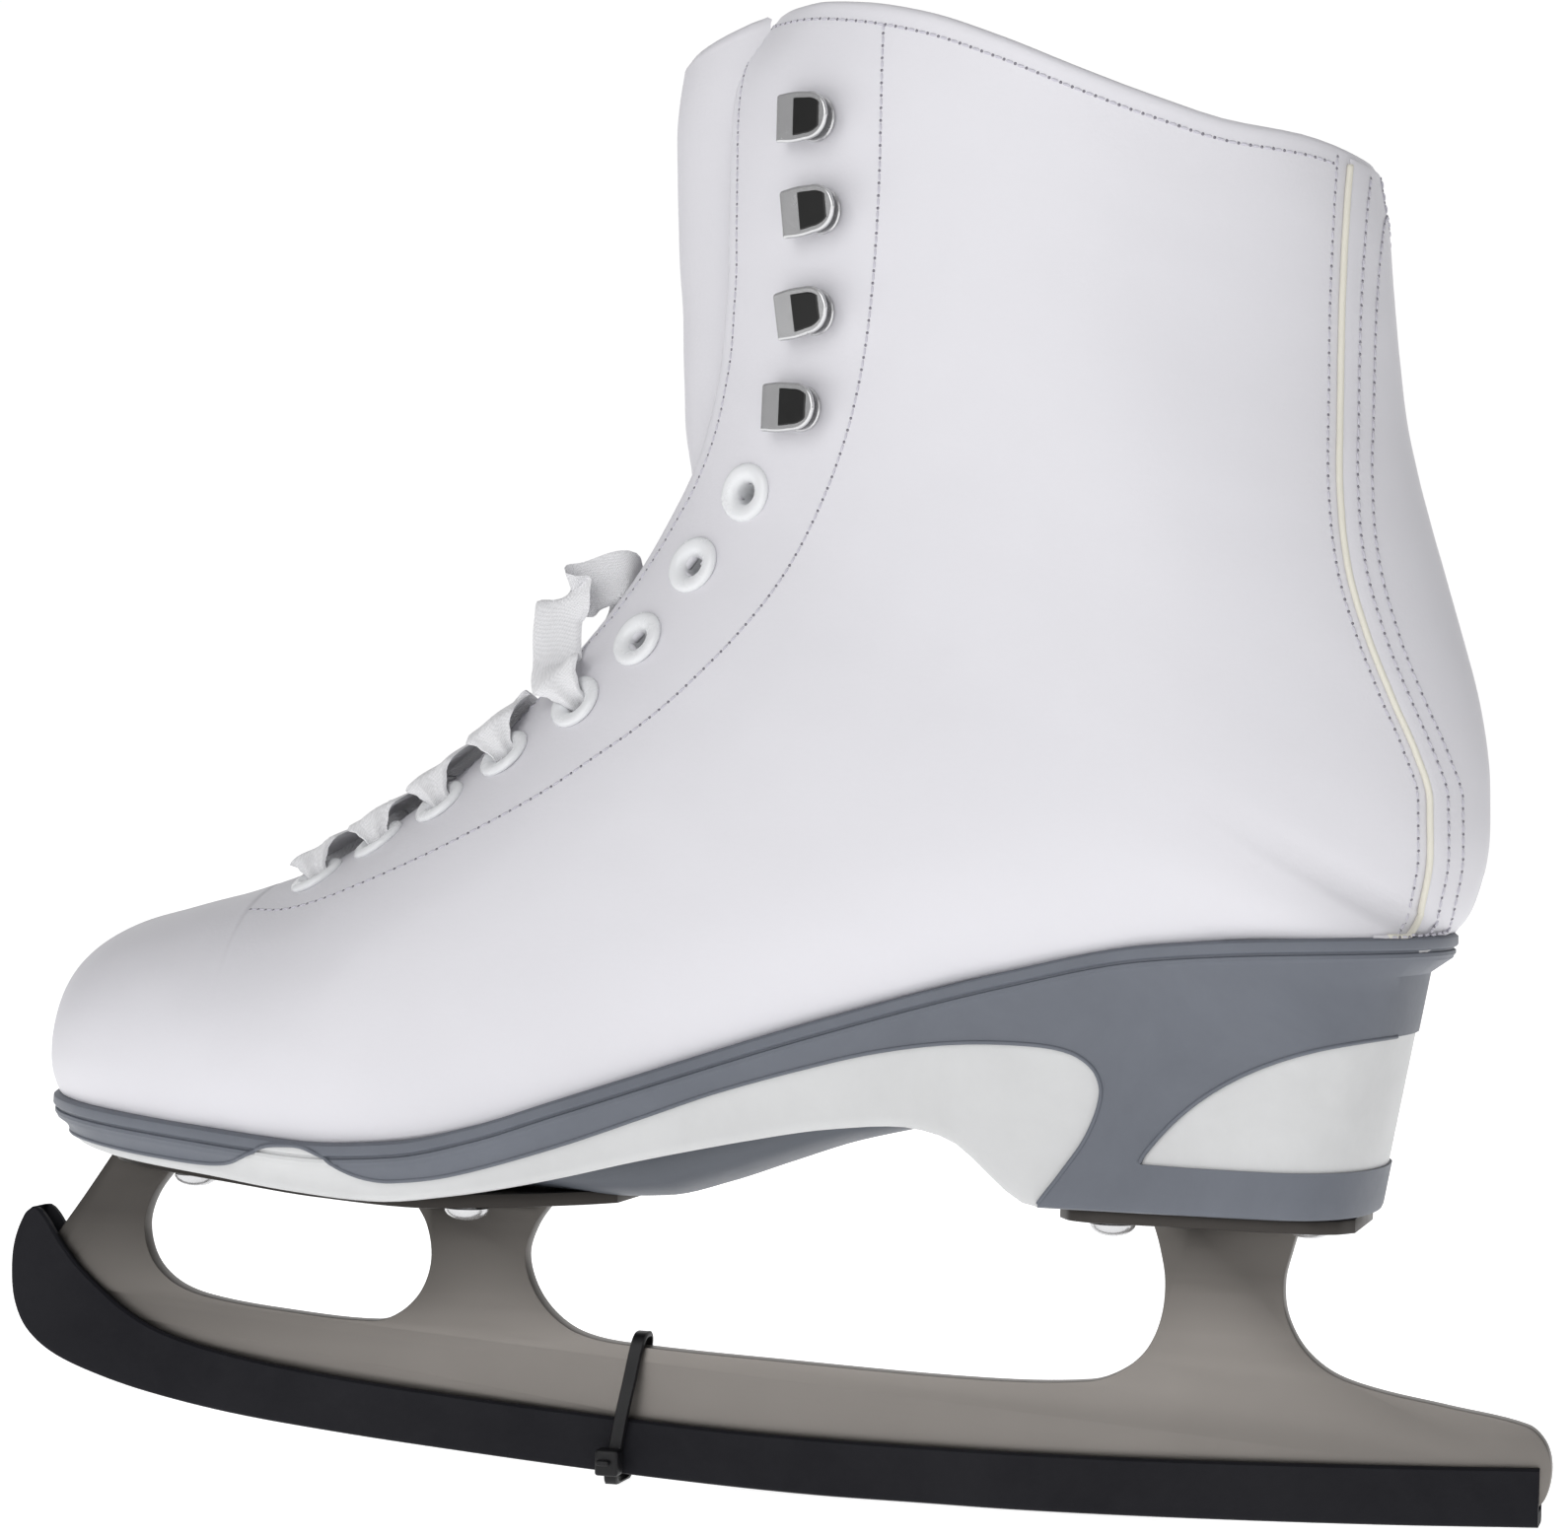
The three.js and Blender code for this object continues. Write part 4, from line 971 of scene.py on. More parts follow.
ARCH_TOP = [
    (-150, 64.5), (-138, 62.8), (-124, 61.8), (-106, 60.4), (-96, 59.8), (-90.5, 60.3), (-86, 62.2),
    (-82, 64.1), (-78, 64.6), (-74, 64.5), (-70, 63), (-66, 60.6), (-62, 59.2), (-57, 58.8), (-46, 60.4),
    (-27, 66.3), (-12, 72), (1, 77), (17, 82), (30, 85.4), (44, 87.6), (58, 88), (66, 86.9), (70.4, 84),
    (71.8, 79.6), (69.4, 72), (64.8, 65), (59.8, 58), (56, 50)]
HEEL_WINDOW = [
    (79.4, 67.6), (150, 67.6), (150, 92.6), (126, 91.8), (113, 90), (103, 87), (94, 82.6), (86.5, 77),
    (80.2, 70)]


def arch_line(grow):
    line = rounded(ARCH_TOP, closed=False, per=6)
    shifted = []
    for i, p in enumerate(line):
        ahead = line[min(i + 1, len(line) - 1)] - line[max(i - 1, 0)]
        out = Vector((-ahead.y, ahead.x)).normalized()
        shifted.append(p + out * grow)
    return shifted + [Vector((56, 40)), Vector((-150, 40))]


def window_line(grow):
    line = rounded(HEEL_WINDOW, per=8, corners=(1, 2))
    middle = Vector((108, 78))
    shifted = []
    for i, p in enumerate(line):
        ahead = line[(i + 1) % len(line)] - line[i - 1]
        out = Vector((ahead.y, -ahead.x)).normalized()
        if out.dot(p - middle) < 0:
            out = -out
        shifted.append(p + out * grow)
    return shifted


frame_piece = sole_solid("sole_frame_look", 0.0, GREY)
sole_tree = BVHTree.FromPolygons([v.co / MM for v in frame_piece.data.vertices],
                                 [list(p.vertices) for p in frame_piece.data.polygons])
combine(frame_piece, side_block("arch_cut", arch_line(0.0), -80, 80), "DIFFERENCE")
combine(frame_piece, side_block("window_cut", window_line(0.0), -80, 80), "DIFFERENCE")
shade_by_angle(frame_piece, 38)
rest_on(frame_piece, "boot", "sole_frame", slot="grey_sole")

arch = sole_solid("arch_core_look", 0.55, WHITE)
combine(arch, side_block("arch_keep", arch_line(0.3), -80, 80), "INTERSECT")
shade_by_angle(arch, 38)
rest_on(arch, "boot", "arch_core", slot="white_moulding")
heel = sole_solid("heel_core_look", 0.55, WHITE)
combine(heel, side_block("window_keep", window_line(0.3), -80, 80), "INTERSECT")
shade_by_angle(heel, 38)
rest_on(heel, "boot", "heel_core", slot="white_moulding")


def shank_piece():
    """The darker ridge under the arch, rounded across."""
    low = curve_through([
        (-46, 56.2), (-34, 55.2), (-25, 54.5), (-15, 55), (-4, 58), (8, 62.4), (21, 67), (37, 71)])
    rows = []
    for i in range(45):
        x = -46 + 83 * i / 44
        end = clamp(min((x + 46) / 9, (37 - x) / 14))
        half = 17 * math.sqrt(1 - (1 - end) ** 2.2) + 0.4
        bottom, top = low(x), sole_bottom_z(x) + 3
        ring = []
        for k in range(25):
            angle = math.pi * k / 24
            y = -half * math.cos(angle)
            fall = math.sin(angle) ** 0.45
            ring.append(Vector((x, y, top + (bottom - top) * fall)))
        rows.append(ring)
    points = [p for row in rows for p in row]
    return make("shank_ridge_look", points, loft_faces(len(rows), 25), GREY_DARK)


rest_on(shank_piece(), "boot", "shank_ridge", slot="shank_grey")


def bead(name, line, radius, mat, body="boot", sides=8):
    """A thin round moulding along a line of points in millimetres."""
    line = [Vector(p) for p in line]
    rows = []
    side = Vector((0, 0, 1))
    for i, p in enumerate(line):
        ahead = (line[min(i + 1, len(line) - 1)] - line[max(i - 1, 0)]).normalized()
        side = (side - ahead * side.dot(ahead)).normalized()
        up = ahead.cross(side)
        rows.append([p + (side * math.cos(2 * math.pi * k / sides) + up * math.sin(2 * math.pi * k / sides))
                     * radius for k in range(sides)])
    points = [p for row in rows for p in row]
    faces = loft_faces(len(rows), sides)
    obj = make(name, points, faces, mat)
    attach(obj, body)
    return obj


def on_sole(x, z, side, lift):
    start = Vector((x, side * 120, z))
    spot, normal, _, _ = sole_tree.ray_cast(start, Vector((0, -side, 0)))
    if spot is None:
        return None
    if normal.y * side < 0:
        normal = -normal
    return spot + normal * lift


def edge_beads():
    arch_edge = [p for p in rounded(ARCH_TOP, closed=False, per=6) if -140 < p.x and p.y > 56]
    window_edge = [p for p in rounded(HEEL_WINDOW, per=8, corners=(1, 2))]
    for word, side in SIDES:
        line = [on_sole(p.x, p.y + 0.25, side, -0.1) for p in arch_edge]
        bead(f"arch_edge_{word}", [p for p in line if p], 0.42, GREY)
        line = [on_sole(p.x, p.y, side, -0.1) for p in window_edge if p.y > 67.7 and p.x < 124]
        bead(f"window_edge_{word}", [p for p in line if p], 0.42, GREY)


edge_beads()


# ---- plates, blade, guard and tie -----------------------------------------------------
def rounded_box(half, high, edge, steps=2):
    """Section points of a flat bar with rounded edges, from -half to half and 0 to -high."""
    ring = []
    for cy, cz, start in ((half - edge, -edge, 0), (half - edge, -high + edge, -90),
                          (-half + edge, -high + edge, -180), (-half + edge, -edge, -270)):
        for k in range(steps + 1):
            angle = math.radians(start + 90 - 90 * k / steps)
            ring.append((cy + edge * math.cos(angle), cz + edge * math.sin(angle)))
    return ring


def plate(name, halves, top_z, thick, mat, node):
    half_at = curve_through(halves)
    x0, x1 = halves[0][0], halves[-1][0]
    rows = []
    for i in range(61):
        x = x0 + (x1 - x0) * (0.5 - 0.5 * math.cos(math.pi * i / 60))
        ring = rounded_box(half_at(x), thick, 0.35)
        rows.append([Vector((x, y, top_z(x) + z)) for y, z in ring])
    points = [p for row in rows for p in row]
    obj = make(name, points, loft_faces(len(rows), len(rows[0])), mat)
    add_bevel(obj, 0.25, 1, 50)
    return rest_on(obj, "boot", node, slot="satin_steel")


plate_top_z = curve_through([
    (-127, 60), (-100, 57.6), (-80, 55.6), (-60, 54.6), (-46, 55.2), (-24, 56.2)])
plate("sole_plate_look", [
    (-127, 8), (-124, 13), (-116, 18), (-100, 21), (-80, 22), (-60, 22), (-44, 20), (-30, 14), (-24, 9),
], plate_top_z, 2.6, STEEL_CUT, "sole_plate")
plate("heel_plate_look", [
    (62, 13), (65, 18), (70, 20), (108, 20), (113, 18), (116, 13)],
    lambda x: 58.4, 2.6, STEEL_CUT, "heel_plate")

rocker_z = curve_through([
    (-148, 33), (-146, 25.5), (-142, 19.5), (-134, 14.6), (-122, 11), (-104, 7.9), (-82, 5.6),
    (-59, 3.8), (-29, 1.8), (-5, 0.6), (15, 0), (55, 0), (85, 0.7), (120, 2), (152, 3.6)])
BLADE_REST = [
    (147.5, 6), (150, 8.5), (151, 14), (149.8, 18.5), (146.5, 21.4), (132, 24), (119, 26.2), (111, 28.7),
    (105.6, 33), (102.4, 39), (101.8, 45), (103, 50.5), (104.4, 55.5), (77, 55.5), (78.6, 50.5), (79.8, 44),
    (79.2, 37), (76.6, 31), (72, 26.9), (66, 24.6), (46, 23.6), (7, 24.6), (-25, 26), (-33.5, 27.6),
    (-39, 31), (-42.8, 36), (-44.4, 42), (-42.8, 47.5), (-39.6, 52.3), (-67.6, 51.6), (-64.6, 46.5),
    (-63.6, 40), (-65.4, 34), (-69.5, 29.6), (-75, 27.5), (-95, 28.4), (-110, 30.2), (-117, 32.6),
    (-121.6, 37), (-123.4, 43.5), (-121.8, 49.5), (-117.4, 55.6), (-130.6, 57.3), (-136.6, 48.5),
    (-141.2, 42), (-145.2, 36), (-146.2, 31.6), (-144.4, 30.4), (-144.6, 27.4), (-142.4, 26.6),
    (-142, 23.6), (-139.6, 23.2), (-138.4, 20)]
BLADE_CORNERS = {(104.4, 55.5), (77, 55.5), (-39.6, 52.3), (-67.6, 51.6), (-117.4, 55.6), (-130.6, 57.3),
                 (-145.2, 36), (-146.2, 31.6), (-144.4, 30.4), (-144.6, 27.4), (-142.4, 26.6),
                 (-142, 23.6), (-139.6, 23.2), (-138.4, 20), (147.5, 6)}


def blade_piece():
    run = [(x, rocker_z(x) + 3) for x in (-134, -122, -104, -82, -59, -29, -5, 15, 35, 55, 85, 120)]
    outline = run + BLADE_REST
    corners = tuple(i for i, p in enumerate(outline) if p in BLADE_CORNERS)
    line = rounded(outline, per=7, corners=corners)
    obj = side_block("blade_look", line, -2, 2, STEEL, bevel=0.28)
    return rest_on(obj, "boot", "blade", slot="satin_steel")


blade_piece()

GUARD_LOW = [
    (149, 3.5), (120, 2), (85, 0.7), (55, 0.02), (35, 0), (15, 0.02), (-5, 0.6), (-29, 1.8),
    (-59, 3.8), (-82, 5.6),
    (-104, 7.9), (-122, 11), (-134, 14.2), (-142.4, 17.6), (-147.6, 21.8), (-150.2, 27), (-151, 33),
    (-150.6, 39), (-148.6, 44.5), (-147, 46)]
GUARD_HIGH = [
    (149, 14.2), (120, 12.8), (85, 11.4), (55, 10.7), (35, 10.6), (15, 10.7), (-5, 11.2), (-29, 12.4),
    (-59, 14.4),
    (-82, 16.4), (-104, 19.4), (-118, 22.8), (-126, 26.6), (-132, 31), (-136.6, 35), (-139.6, 38.4),
    (-141.8, 41.4),
    (-143.4, 43.8), (-144.8, 45.4), (-145.8, 46)]


def guard_piece():
    """A channel that follows the runner: floor, two walls and rounded lips."""
    low = rounded(GUARD_LOW, closed=False, per=6)
    high = rounded(GUARD_HIGH, closed=False, per=6)
    outer, inner = 4.0, 2.12
    rows = []
    for a, b in zip(low, high):
        up = b - a
        tall = up.length
        up = up / tall if tall > 1e-6 else Vector((0, 1))
        floor = min(2.6, tall * 0.45)
        lip = min(0.45, tall * 0.3)
        section = [
            (-outer + 1.0, 0.0), (-outer + 0.3, 0.3), (-outer, 1.0), (-outer, tall * 0.5),
            (-outer, tall - lip),
            (-outer + 0.45, tall), (-inner - 0.3, tall), (-inner, tall - lip), (-inner, floor)]
        section += [(-y, h) for y, h in reversed(section)]
        rows.append([Vector((a.x + up.x * h, y, a.y + up.y * h)) for y, h in section])
    points = [p for row in rows for p in row]
    obj = make("edge_guard_look", points, loft_faces(len(rows), len(rows[0])), RUBBER)
    shade_by_angle(obj, 42)
    return rest_on(obj, "boot", "edge_guard", slot="guard_rubber")


guard_piece()


def tie_piece():
    """A thin strap round the guard and the runner, its lock low on the outer side."""
    path = rounded([
        (0, 0.0), (3.6, 0.3), (4.75, 1.6), (4.85, 8), (4.7, 12.6), (3.6, 19), (2.9, 24.5), (1.9, 27.0),
        (0, 27.4),
        (-1.9, 27.0), (-2.9, 24.5), (-3.6, 19), (-4.7, 12.6), (-4.85, 8), (-4.75, 1.6), (-3.6, 0.3)],
        per=5)
    rows = []
    for i, p in enumerate(path):
        ahead = (path[(i + 1) % len(path)] - path[i - 1]).normalized()
        out = Vector((ahead.y, -ahead.x))
        if out.dot(p - Vector((0, 13))) < 0:
            out = -out
        slant = (p.y - 13) * 0.16 - 23.2
        ring = []
        for across, off in ((-1.3, 0), (-1.35, 0.5), (-1.1, 0.95), (1.1, 0.95), (1.35, 0.5), (1.3, 0)):
            q = p + out * (off + 0.12)
            ring.append(Vector((slant + across, q.x, q.y)))
        rows.append(ring)
    count = len(rows[0])
    points = [p for row in rows for p in row]
    faces = loft_faces(len(rows), count, caps=False)
    last = (len(rows) - 1) * count
    faces += [[last + i, last + (i + 1) % count, (i + 1) % count, i] for i in range(count)]
    strap = make("cable_tie_look", points, faces, NYLON)
    shade_by_angle(strap, 40)
    rest_on(strap, "boot", "cable_tie", slot="black_nylon")
    lock = rounded_lump("cable_tie_lock", (-25, -7.0, 4.2), (2.3, 1.9, 2.5), 0.6, NYLON)
    rest_on(lock, "boot", slot="black_nylon")
    tail = rounded_lump("cable_tie_stub", (-25.3, -9.2, 4.4), (1.2, 1.4, 0.5), 0.3, NYLON)
    rest_on(tail, "boot", slot="black_nylon")


def rounded_lump(name, centre, half, edge, mat):
    bm = bmesh.new()
    bmesh.ops.create_cube(bm, size=2)
    for v in bm.verts:
        v.co = Vector([c * h for c, h in zip(v.co, half)])
    bmesh.ops.bevel(bm, geom=bm.edges[:], offset=edge, segments=3, profile=0.5, affect="EDGES")
    for v in bm.verts:
        v.co = (v.co + Vector(centre)) * MM
    mesh = bpy.data.meshes.new(name)
    bm.to_mesh(mesh)
    bm.free()
    return finish_mesh(name, mesh, mat, True, 40)


tie_piece()

SCREW_SEATS = {f"sole_screw_{i + 1}": (x, y, plate_top_z(x) - 3.2)
               for i, (x, y) in enumerate([(-108, -13), (-108, 13), (-52, -15), (-52, 15)])}
SCREW_SEATS.update({f"heel_screw_{i + 1}": (x, y, 55.2)
                    for i, (x, y) in enumerate([(72, -14), (72, 14), (108, -14), (108, 14)])})
SCREW_PROFILE = [
    (0, -1.15), (0.55, -1.15), (0.7, -1.3), (1.4, -2.05), (2.6, -1.75), (3.6, -1.1), (4.15, -0.35),
    (4.2, 0.15),
    (2, 0.2), (2, 8.5), (0, 9)]
for node, at in SCREW_SEATS.items():
    turn = Matrix.Translation(Vector(at) + Vector((0, 0, 1.5 if at[0] > 100 else 0)))
    head = lathe(f"{node}_look", SCREW_PROFILE, 32, turn, NICKEL, 50)
    rest_on(head, "boot", node, slot="nickel")


# ---- eyelets and hooks ----------------------------------------------------------------
EYELET_PROFILE = [
    (2.05, -5.4), (2.9, -5.4), (3.0, -0.3), (5.35, -0.3), (5.6, 0.1), (5.5, 0.55), (5.1, 0.95), (4.5, 1.12),
    (3.6, 1.05), (2.9, 0.75), (2.35, 0.25), (2.05, -0.4)]
for (word, i), seat in eyelet_seats.items():
    ring = lathe(f"eyelet_{word}_{i}_look", EYELET_PROFILE, 44, seat, ENAMEL, 60)
    rest_on(ring, "boot", f"eyelet_{word}_{i}", slot="white_enamel")


def hook_path(t):
    """Along the hook's strip: base, bend at the throat side, then the lip going back."""
    base, bend = 0.22, 0.42
    if t < base:
        return Vector((-2 + 4.1 * t / base, 0.55)), 0
    if t < bend:
        angle = math.pi * (t - base) / (bend - base)
        return Vector((2.1 + 1.7 * math.sin(angle), 2.45 - 1.9 * math.cos(angle))), 1
    k = (t - bend) / (1 - bend)
    return Vector((2.1 - 11.2 * k, 4.35 + 0.6 * k * k)), 2


def hook_half(t):
    base, bend = 0.22, 0.42
    if t < base:
        return 2.4 + 0.9 * smooth(t / base)
    if t < bend:
        return 3.3 + 0.7 * smooth((t - base) / (bend - base))
    k = (t - bend) / (1 - bend)
    if k < 0.55:
        return 4.0 + 0.2 * math.sin(math.pi * k / 0.55)
    return 4.0 * math.sqrt(max(0, 1 - ((k - 0.55) / 0.45) ** 2.3))


def hook_points(t0, t1, rows, shrink, lift, seat):
    points = []
    for i in range(rows + 1):
        t = t0 + (t1 - t0) * i / rows
        spot, _ = hook_path(t)
        near, _ = hook_path(min(t + 0.01, 1))
        far, _ = hook_path(max(t - 0.01, 0))
        run = (near - far).normalized()
        out = Vector((run.y, -run.x))
        half = max(hook_half(t) - shrink, 0.35)
        for k in range(13):
            v = math.sin(math.pi / 2 * (k / 6 - 1))
            p = spot + out * lift
            points.append(seat @ Vector((p.x, v * half, p.y)))
    faces = [[r * 13 + c, r * 13 + c + 1, (r + 1) * 13 + c + 1, (r + 1) * 13 + c]
             for r in range(rows) for c in range(12)]
    return points, faces


HOOK_BASE = [
    (0, 0.05), (3.8, 0.05), (4.25, 0.15), (4.35, 0.42), (4.15, 0.72), (3.7, 0.82), (3.3, 0.7),
    (3.0, 0.5), (1.8, 0.5),
    (1.5, 0.95), (0.9, 1.15), (0, 1.2)]
for (word, i), seat in hook_seats.items():
    name = f"hook_{word}_{i}"
    body = f"{word}_cuff"
    strip = make(f"{name}_look", *thick_sheet(*hook_points(0, 1, 44, 0, 0, seat), 0.85), NICKEL)
    shade_by_angle(strip, 50)
    rest_on(strip, body, name, slot="nickel")
    disc = lathe(f"{name}_base", HOOK_BASE, 36, seat @ Matrix.Translation((-3.4, 0, 0)), NICKEL, 40)
    rest_on(disc, body, slot="nickel")
    # A thin dark sheet on the middle of the lip: painted reflection of the dished nickel centre.
    painted_reflection_sheet = thick_sheet(*hook_points(0.6, 0.925, 18, 0.9, 0.16, seat), 0.3, 2)
    face = make(f"{name}_face", *painted_reflection_sheet, NICKEL_DARK)
    shade_by_angle(face, 50)
    rest_on(face, body, slot="nickel")


# ---- the backstay strip and its piping ------------------------------------------------
seam_x = curve_through([
    (100, 122), (108.5, 124.6), (113.9, 126.6), (124.7, 128.3), (133.8, 128.1), (142.9, 125.4), (152, 121.5),
    (164.2, 116.6), (174.8, 113.3), (182.5, 112), (197, 110.7), (224, 110), (246, 110.2)])


def seam_share(s, side, forward=0.0):
    low, high = 0.0, widest_at(s)
    for _ in range(30):
        mid = (low + high) / 2
        p = skin(s, mid, side)
        if p.x > seam_x(p.z) - forward:
            low = mid
        else:
            high = mid
    return low


BACKSTAY_FROM = 13.2


def backstay_line(forward, side, s0=BACKSTAY_FROM + 0.1, s1=21.75, count=150):
    """Points of the leather along the strip's front edge, or forward of it."""
    line = []
    for i in range(count + 1):
        s = s0 + (s1 - s0) * i / count
        line.append(skin(s, seam_share(s, side, forward), side))
    return line


def backstay_piece():
    rows, columns = 110, 26
    points = []
    for r in range(rows + 1):
        s = BACKSTAY_FROM + (LAST - 0.12 - BACKSTAY_FROM) * r / rows
        shares = [seam_share(s, -1), seam_share(s, 1)]
        for c in range(columns + 1):
            t = 2 * c / columns - 1
            side = -1 if t < 0 else 1
            p = skin(s, shares[0 if t < 0 else 1] * (1 - math.cos(abs(t) * math.pi / 2)), side, -0.85)
            points.append(p)
    faces = [[r * (columns + 1) + c, r * (columns + 1) + c + 1, (r + 1) * (columns + 1) + c + 1,
              (r + 1) * (columns + 1) + c] for r in range(rows) for c in range(columns)]
    points, faces = swell(points, faces, lambda p: ripple(p, 0.18))
    strip = make("backstay_look", *thick_sheet(points, faces, 1.5), LEATHER)
    shade_by_angle(strip, 50)
    return rest_on(strip, "boot", "backstay", slot="white_leather")


backstay_piece()


# ---- stitching ------------------------------------------------------------------------
def on_leather(p, lift=0.0):
    spot, normal, _, _ = leather_tree.find_nearest(Vector(p))
    if (spot - Vector((spot.x, 0, min(spot.z, 130)))).dot(normal) < 0:
        normal = -normal
    return spot + normal * lift, normal


def even_spots(line, pitch):
    """Points a pitch apart along a line, each with the direction there."""
    spots, carried = [], pitch * 0.5
    for a, b in zip(line, line[1:]):
        length = (b - a).length
        if length < 1e-9:
            continue
        at = carried
        while at <= length:
            spots.append((a.lerp(b, at / length), (b - a) / length))
            at += pitch
        carried = at - length
    return spots


def stitch_points(centre, along, normal, length, radius):
    """A short thread that rises out of the leather and goes back into it."""
    across = normal.cross(along).normalized()
    rings, n = 7, 6
    points = []
    for r in range(rings):
        t = 2 * r / (rings - 1) - 1
        thick = radius * math.sqrt(max(0.02, 1 - abs(t) ** 3.2))
        sink = 0.24 * (t * t) * radius / 0.3
        for k in range(n):
            angle = 2 * math.pi * k / n
            points.append(centre + along * (t * length / 2) + across * thick * math.cos(angle)
                          + normal * (thick * math.sin(angle) * 0.9 - sink + 0.05))
    faces = []
    for r in range(rings - 1):
        for k in range(n):
            faces.append([r * n + k, r * n + (k + 1) % n, (r + 1) * n + (k + 1) % n, (r + 1) * n + k])
    faces.append(list(range(n))[::-1])
    faces.append([(rings - 1) * n + k for k in range(n)])
    return points, faces


threads = {"boot": ([], []), "outer": ([], []), "inner": ([], [])}
holes = {"boot": ([], []), "outer": ([], []), "inner": ([], [])}


def needle_hole(spot, along, normal, radius=0.3):
    across = normal.cross(along).normalized()
    ring = [spot + normal * 0.06 + (along * math.cos(a) + across * math.sin(a)) * radius
            for a in (2 * math.pi * k / 7 for k in range(7))]
    return ring + [spot - normal * 0.25], [list(range(7))] + [[(k + 1) % 7, k, 7] for k in range(7)]


def add_part(store, part):
    base = len(store[0])
    store[0].extend(part[0])
    store[1].extend([[base + i for i in face] for face in part[1]])


def sew(line, pitch=2.25, length=1.7, radius=0.25, lift=0.0, snap=True):
    for spot, along in even_spots([Vector(p) for p in line], pitch):
        if snap:
            spot, normal = on_leather(spot, lift)
        else:
            normal = on_leather(spot)[1]
        along = (along - normal * along.dot(normal)).normalized()
        twist = normal.cross(along) * 0.16 * length * 0.3
        over = above_fold(spot * MM) > FOLD_FROM
        word = "boot" if not over else ("outer" if spot.y < 0 else "inner")
        slant = (along * length + twist).normalized()
        add_part(threads[word], stitch_points(spot, slant, normal, length, radius))
        add_part(holes[word], needle_hole(spot + along * pitch / 2, along, normal))


def edge_line(side, back_by, s0, s1, count=160):
    return [skin(s0 + (s1 - s0) * i / count, edge_share(s0 + (s1 - s0) * i / count, side, back_by), side)
            for i in range(count + 1)]


FACING_ROW = [
    (28, 272), (28, 258), (27.9, 244), (27.3, 230), (25.9, 216), (23.4, 203), (19.8, 191.5), (15, 180.5),
    (9.4, 170.5), (2.6, 161.5), (-5.6, 152.8), (-14.4, 144.8), (-24, 137.8), (-33.4, 131.2), (-48, 122.8),
    (-60, 116.8), (-71, 112), (-79, 109.2), (-86, 107.6), (-93, 107.3)]


def side_line(pairs, side, per=8):
    line = []
    for p in rounded(pairs, closed=False, per=per):
        spot, _, _, _ = leather_tree.ray_cast(Vector((p.x, side * 120, p.y)), Vector((0, -side, 0)))
        if spot:
            line.append(spot)
    return line


def below_top(side, back_by, down):
    """A point this far back from the edge and this far below the collar's top."""
    s = LAST - down / 12.5 if down < 12.5 else LAST - 1 - (down - 12.5) / 11.4
    return skin(s, edge_share(s, side, back_by), side)


def rim_row(side, inset):
    """Up the facing's edge, round the corner and along the collar."""
    line = edge_line(side, inset, 6.0, LAST - 1 - (CORNER - 12.5) / 11.4)
    round_by = CORNER - inset
    for i in range(1, 13):
        turn = math.pi / 2 * i / 13
        line.append(below_top(side, CORNER - round_by * math.cos(turn), CORNER - round_by * math.sin(turn)))
    for i in range(81):
        p = skin(LAST, edge_share(LAST, side, CORNER) * (1 - i / 80), side)
        p.z -= inset
        if p.x < seam_x(240) - 2.5:
            line.append(p)
    return line


for word, side in SIDES:
    sew(rim_row(side, 2.8))
    sew(side_line(FACING_ROW, side))
    sew(backstay_line(2.0, side))
    for inward in (-2.2, -4.4):
        sew(backstay_line(inward, side), lift=0.95)
    bead(f"backstay_piping_{word}", [on_leather(p, 0.45)[0] for p in backstay_line(0.35, side)], 0.62, PIPING,
         sides=10)
for kind, store, mat in (("stitches", threads, THREAD), ("needle_holes", holes, HOLE)):
    for word, (points, faces) in store.items():
        obj = make(f"{kind}_{word}", points, faces, mat)
        if word == "boot":
            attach(obj, "boot")
        else:
            bend_with_cuff(obj)


# ---- the tongue and the footbed -------------------------------------------------------
def tongue_rings():
    rings = []
    for s, half, deep in ((4.1, 7, 6.2), (4.9, 9.5, 5.8), (5.6, 11, 5.9), (6.5, 12.5, 6.6), (7.5, 13, 7.6),
                          (8.5, 12.5, 8.2),
                          (9.5, 12, 8.5), (10.5, 12, 8.6), (11.5, 11.5, 8.6)):
        top, under = front_point(s), front_point(s, 1)
        along = (under - top).normalized()
        rings.append((top + along * deep, along, half, 4.0, 5.5))
    rings.append((Vector((-15.6, 0, 184)), Vector((1, 0, 0.3)).normalized(), 11, 4.6, 8.5))
    for x, z, half, thick in (
            (-15.5, 192, 10.8, 5), (-17.0, 202, 11.2, 7), (-17.6, 216, 11.8, 8), (-19, 236, 12.4, 8),
            (-20, 256, 13, 8.5), (-19.6, 268, 13.4, 8.2), (-18.8, 275.6, 13.2, 6)):
        rings.append((Vector((x, 0, z)), Vector((1, 0, 0)), half, thick, 17 if z > 195 else 13))
    return rings


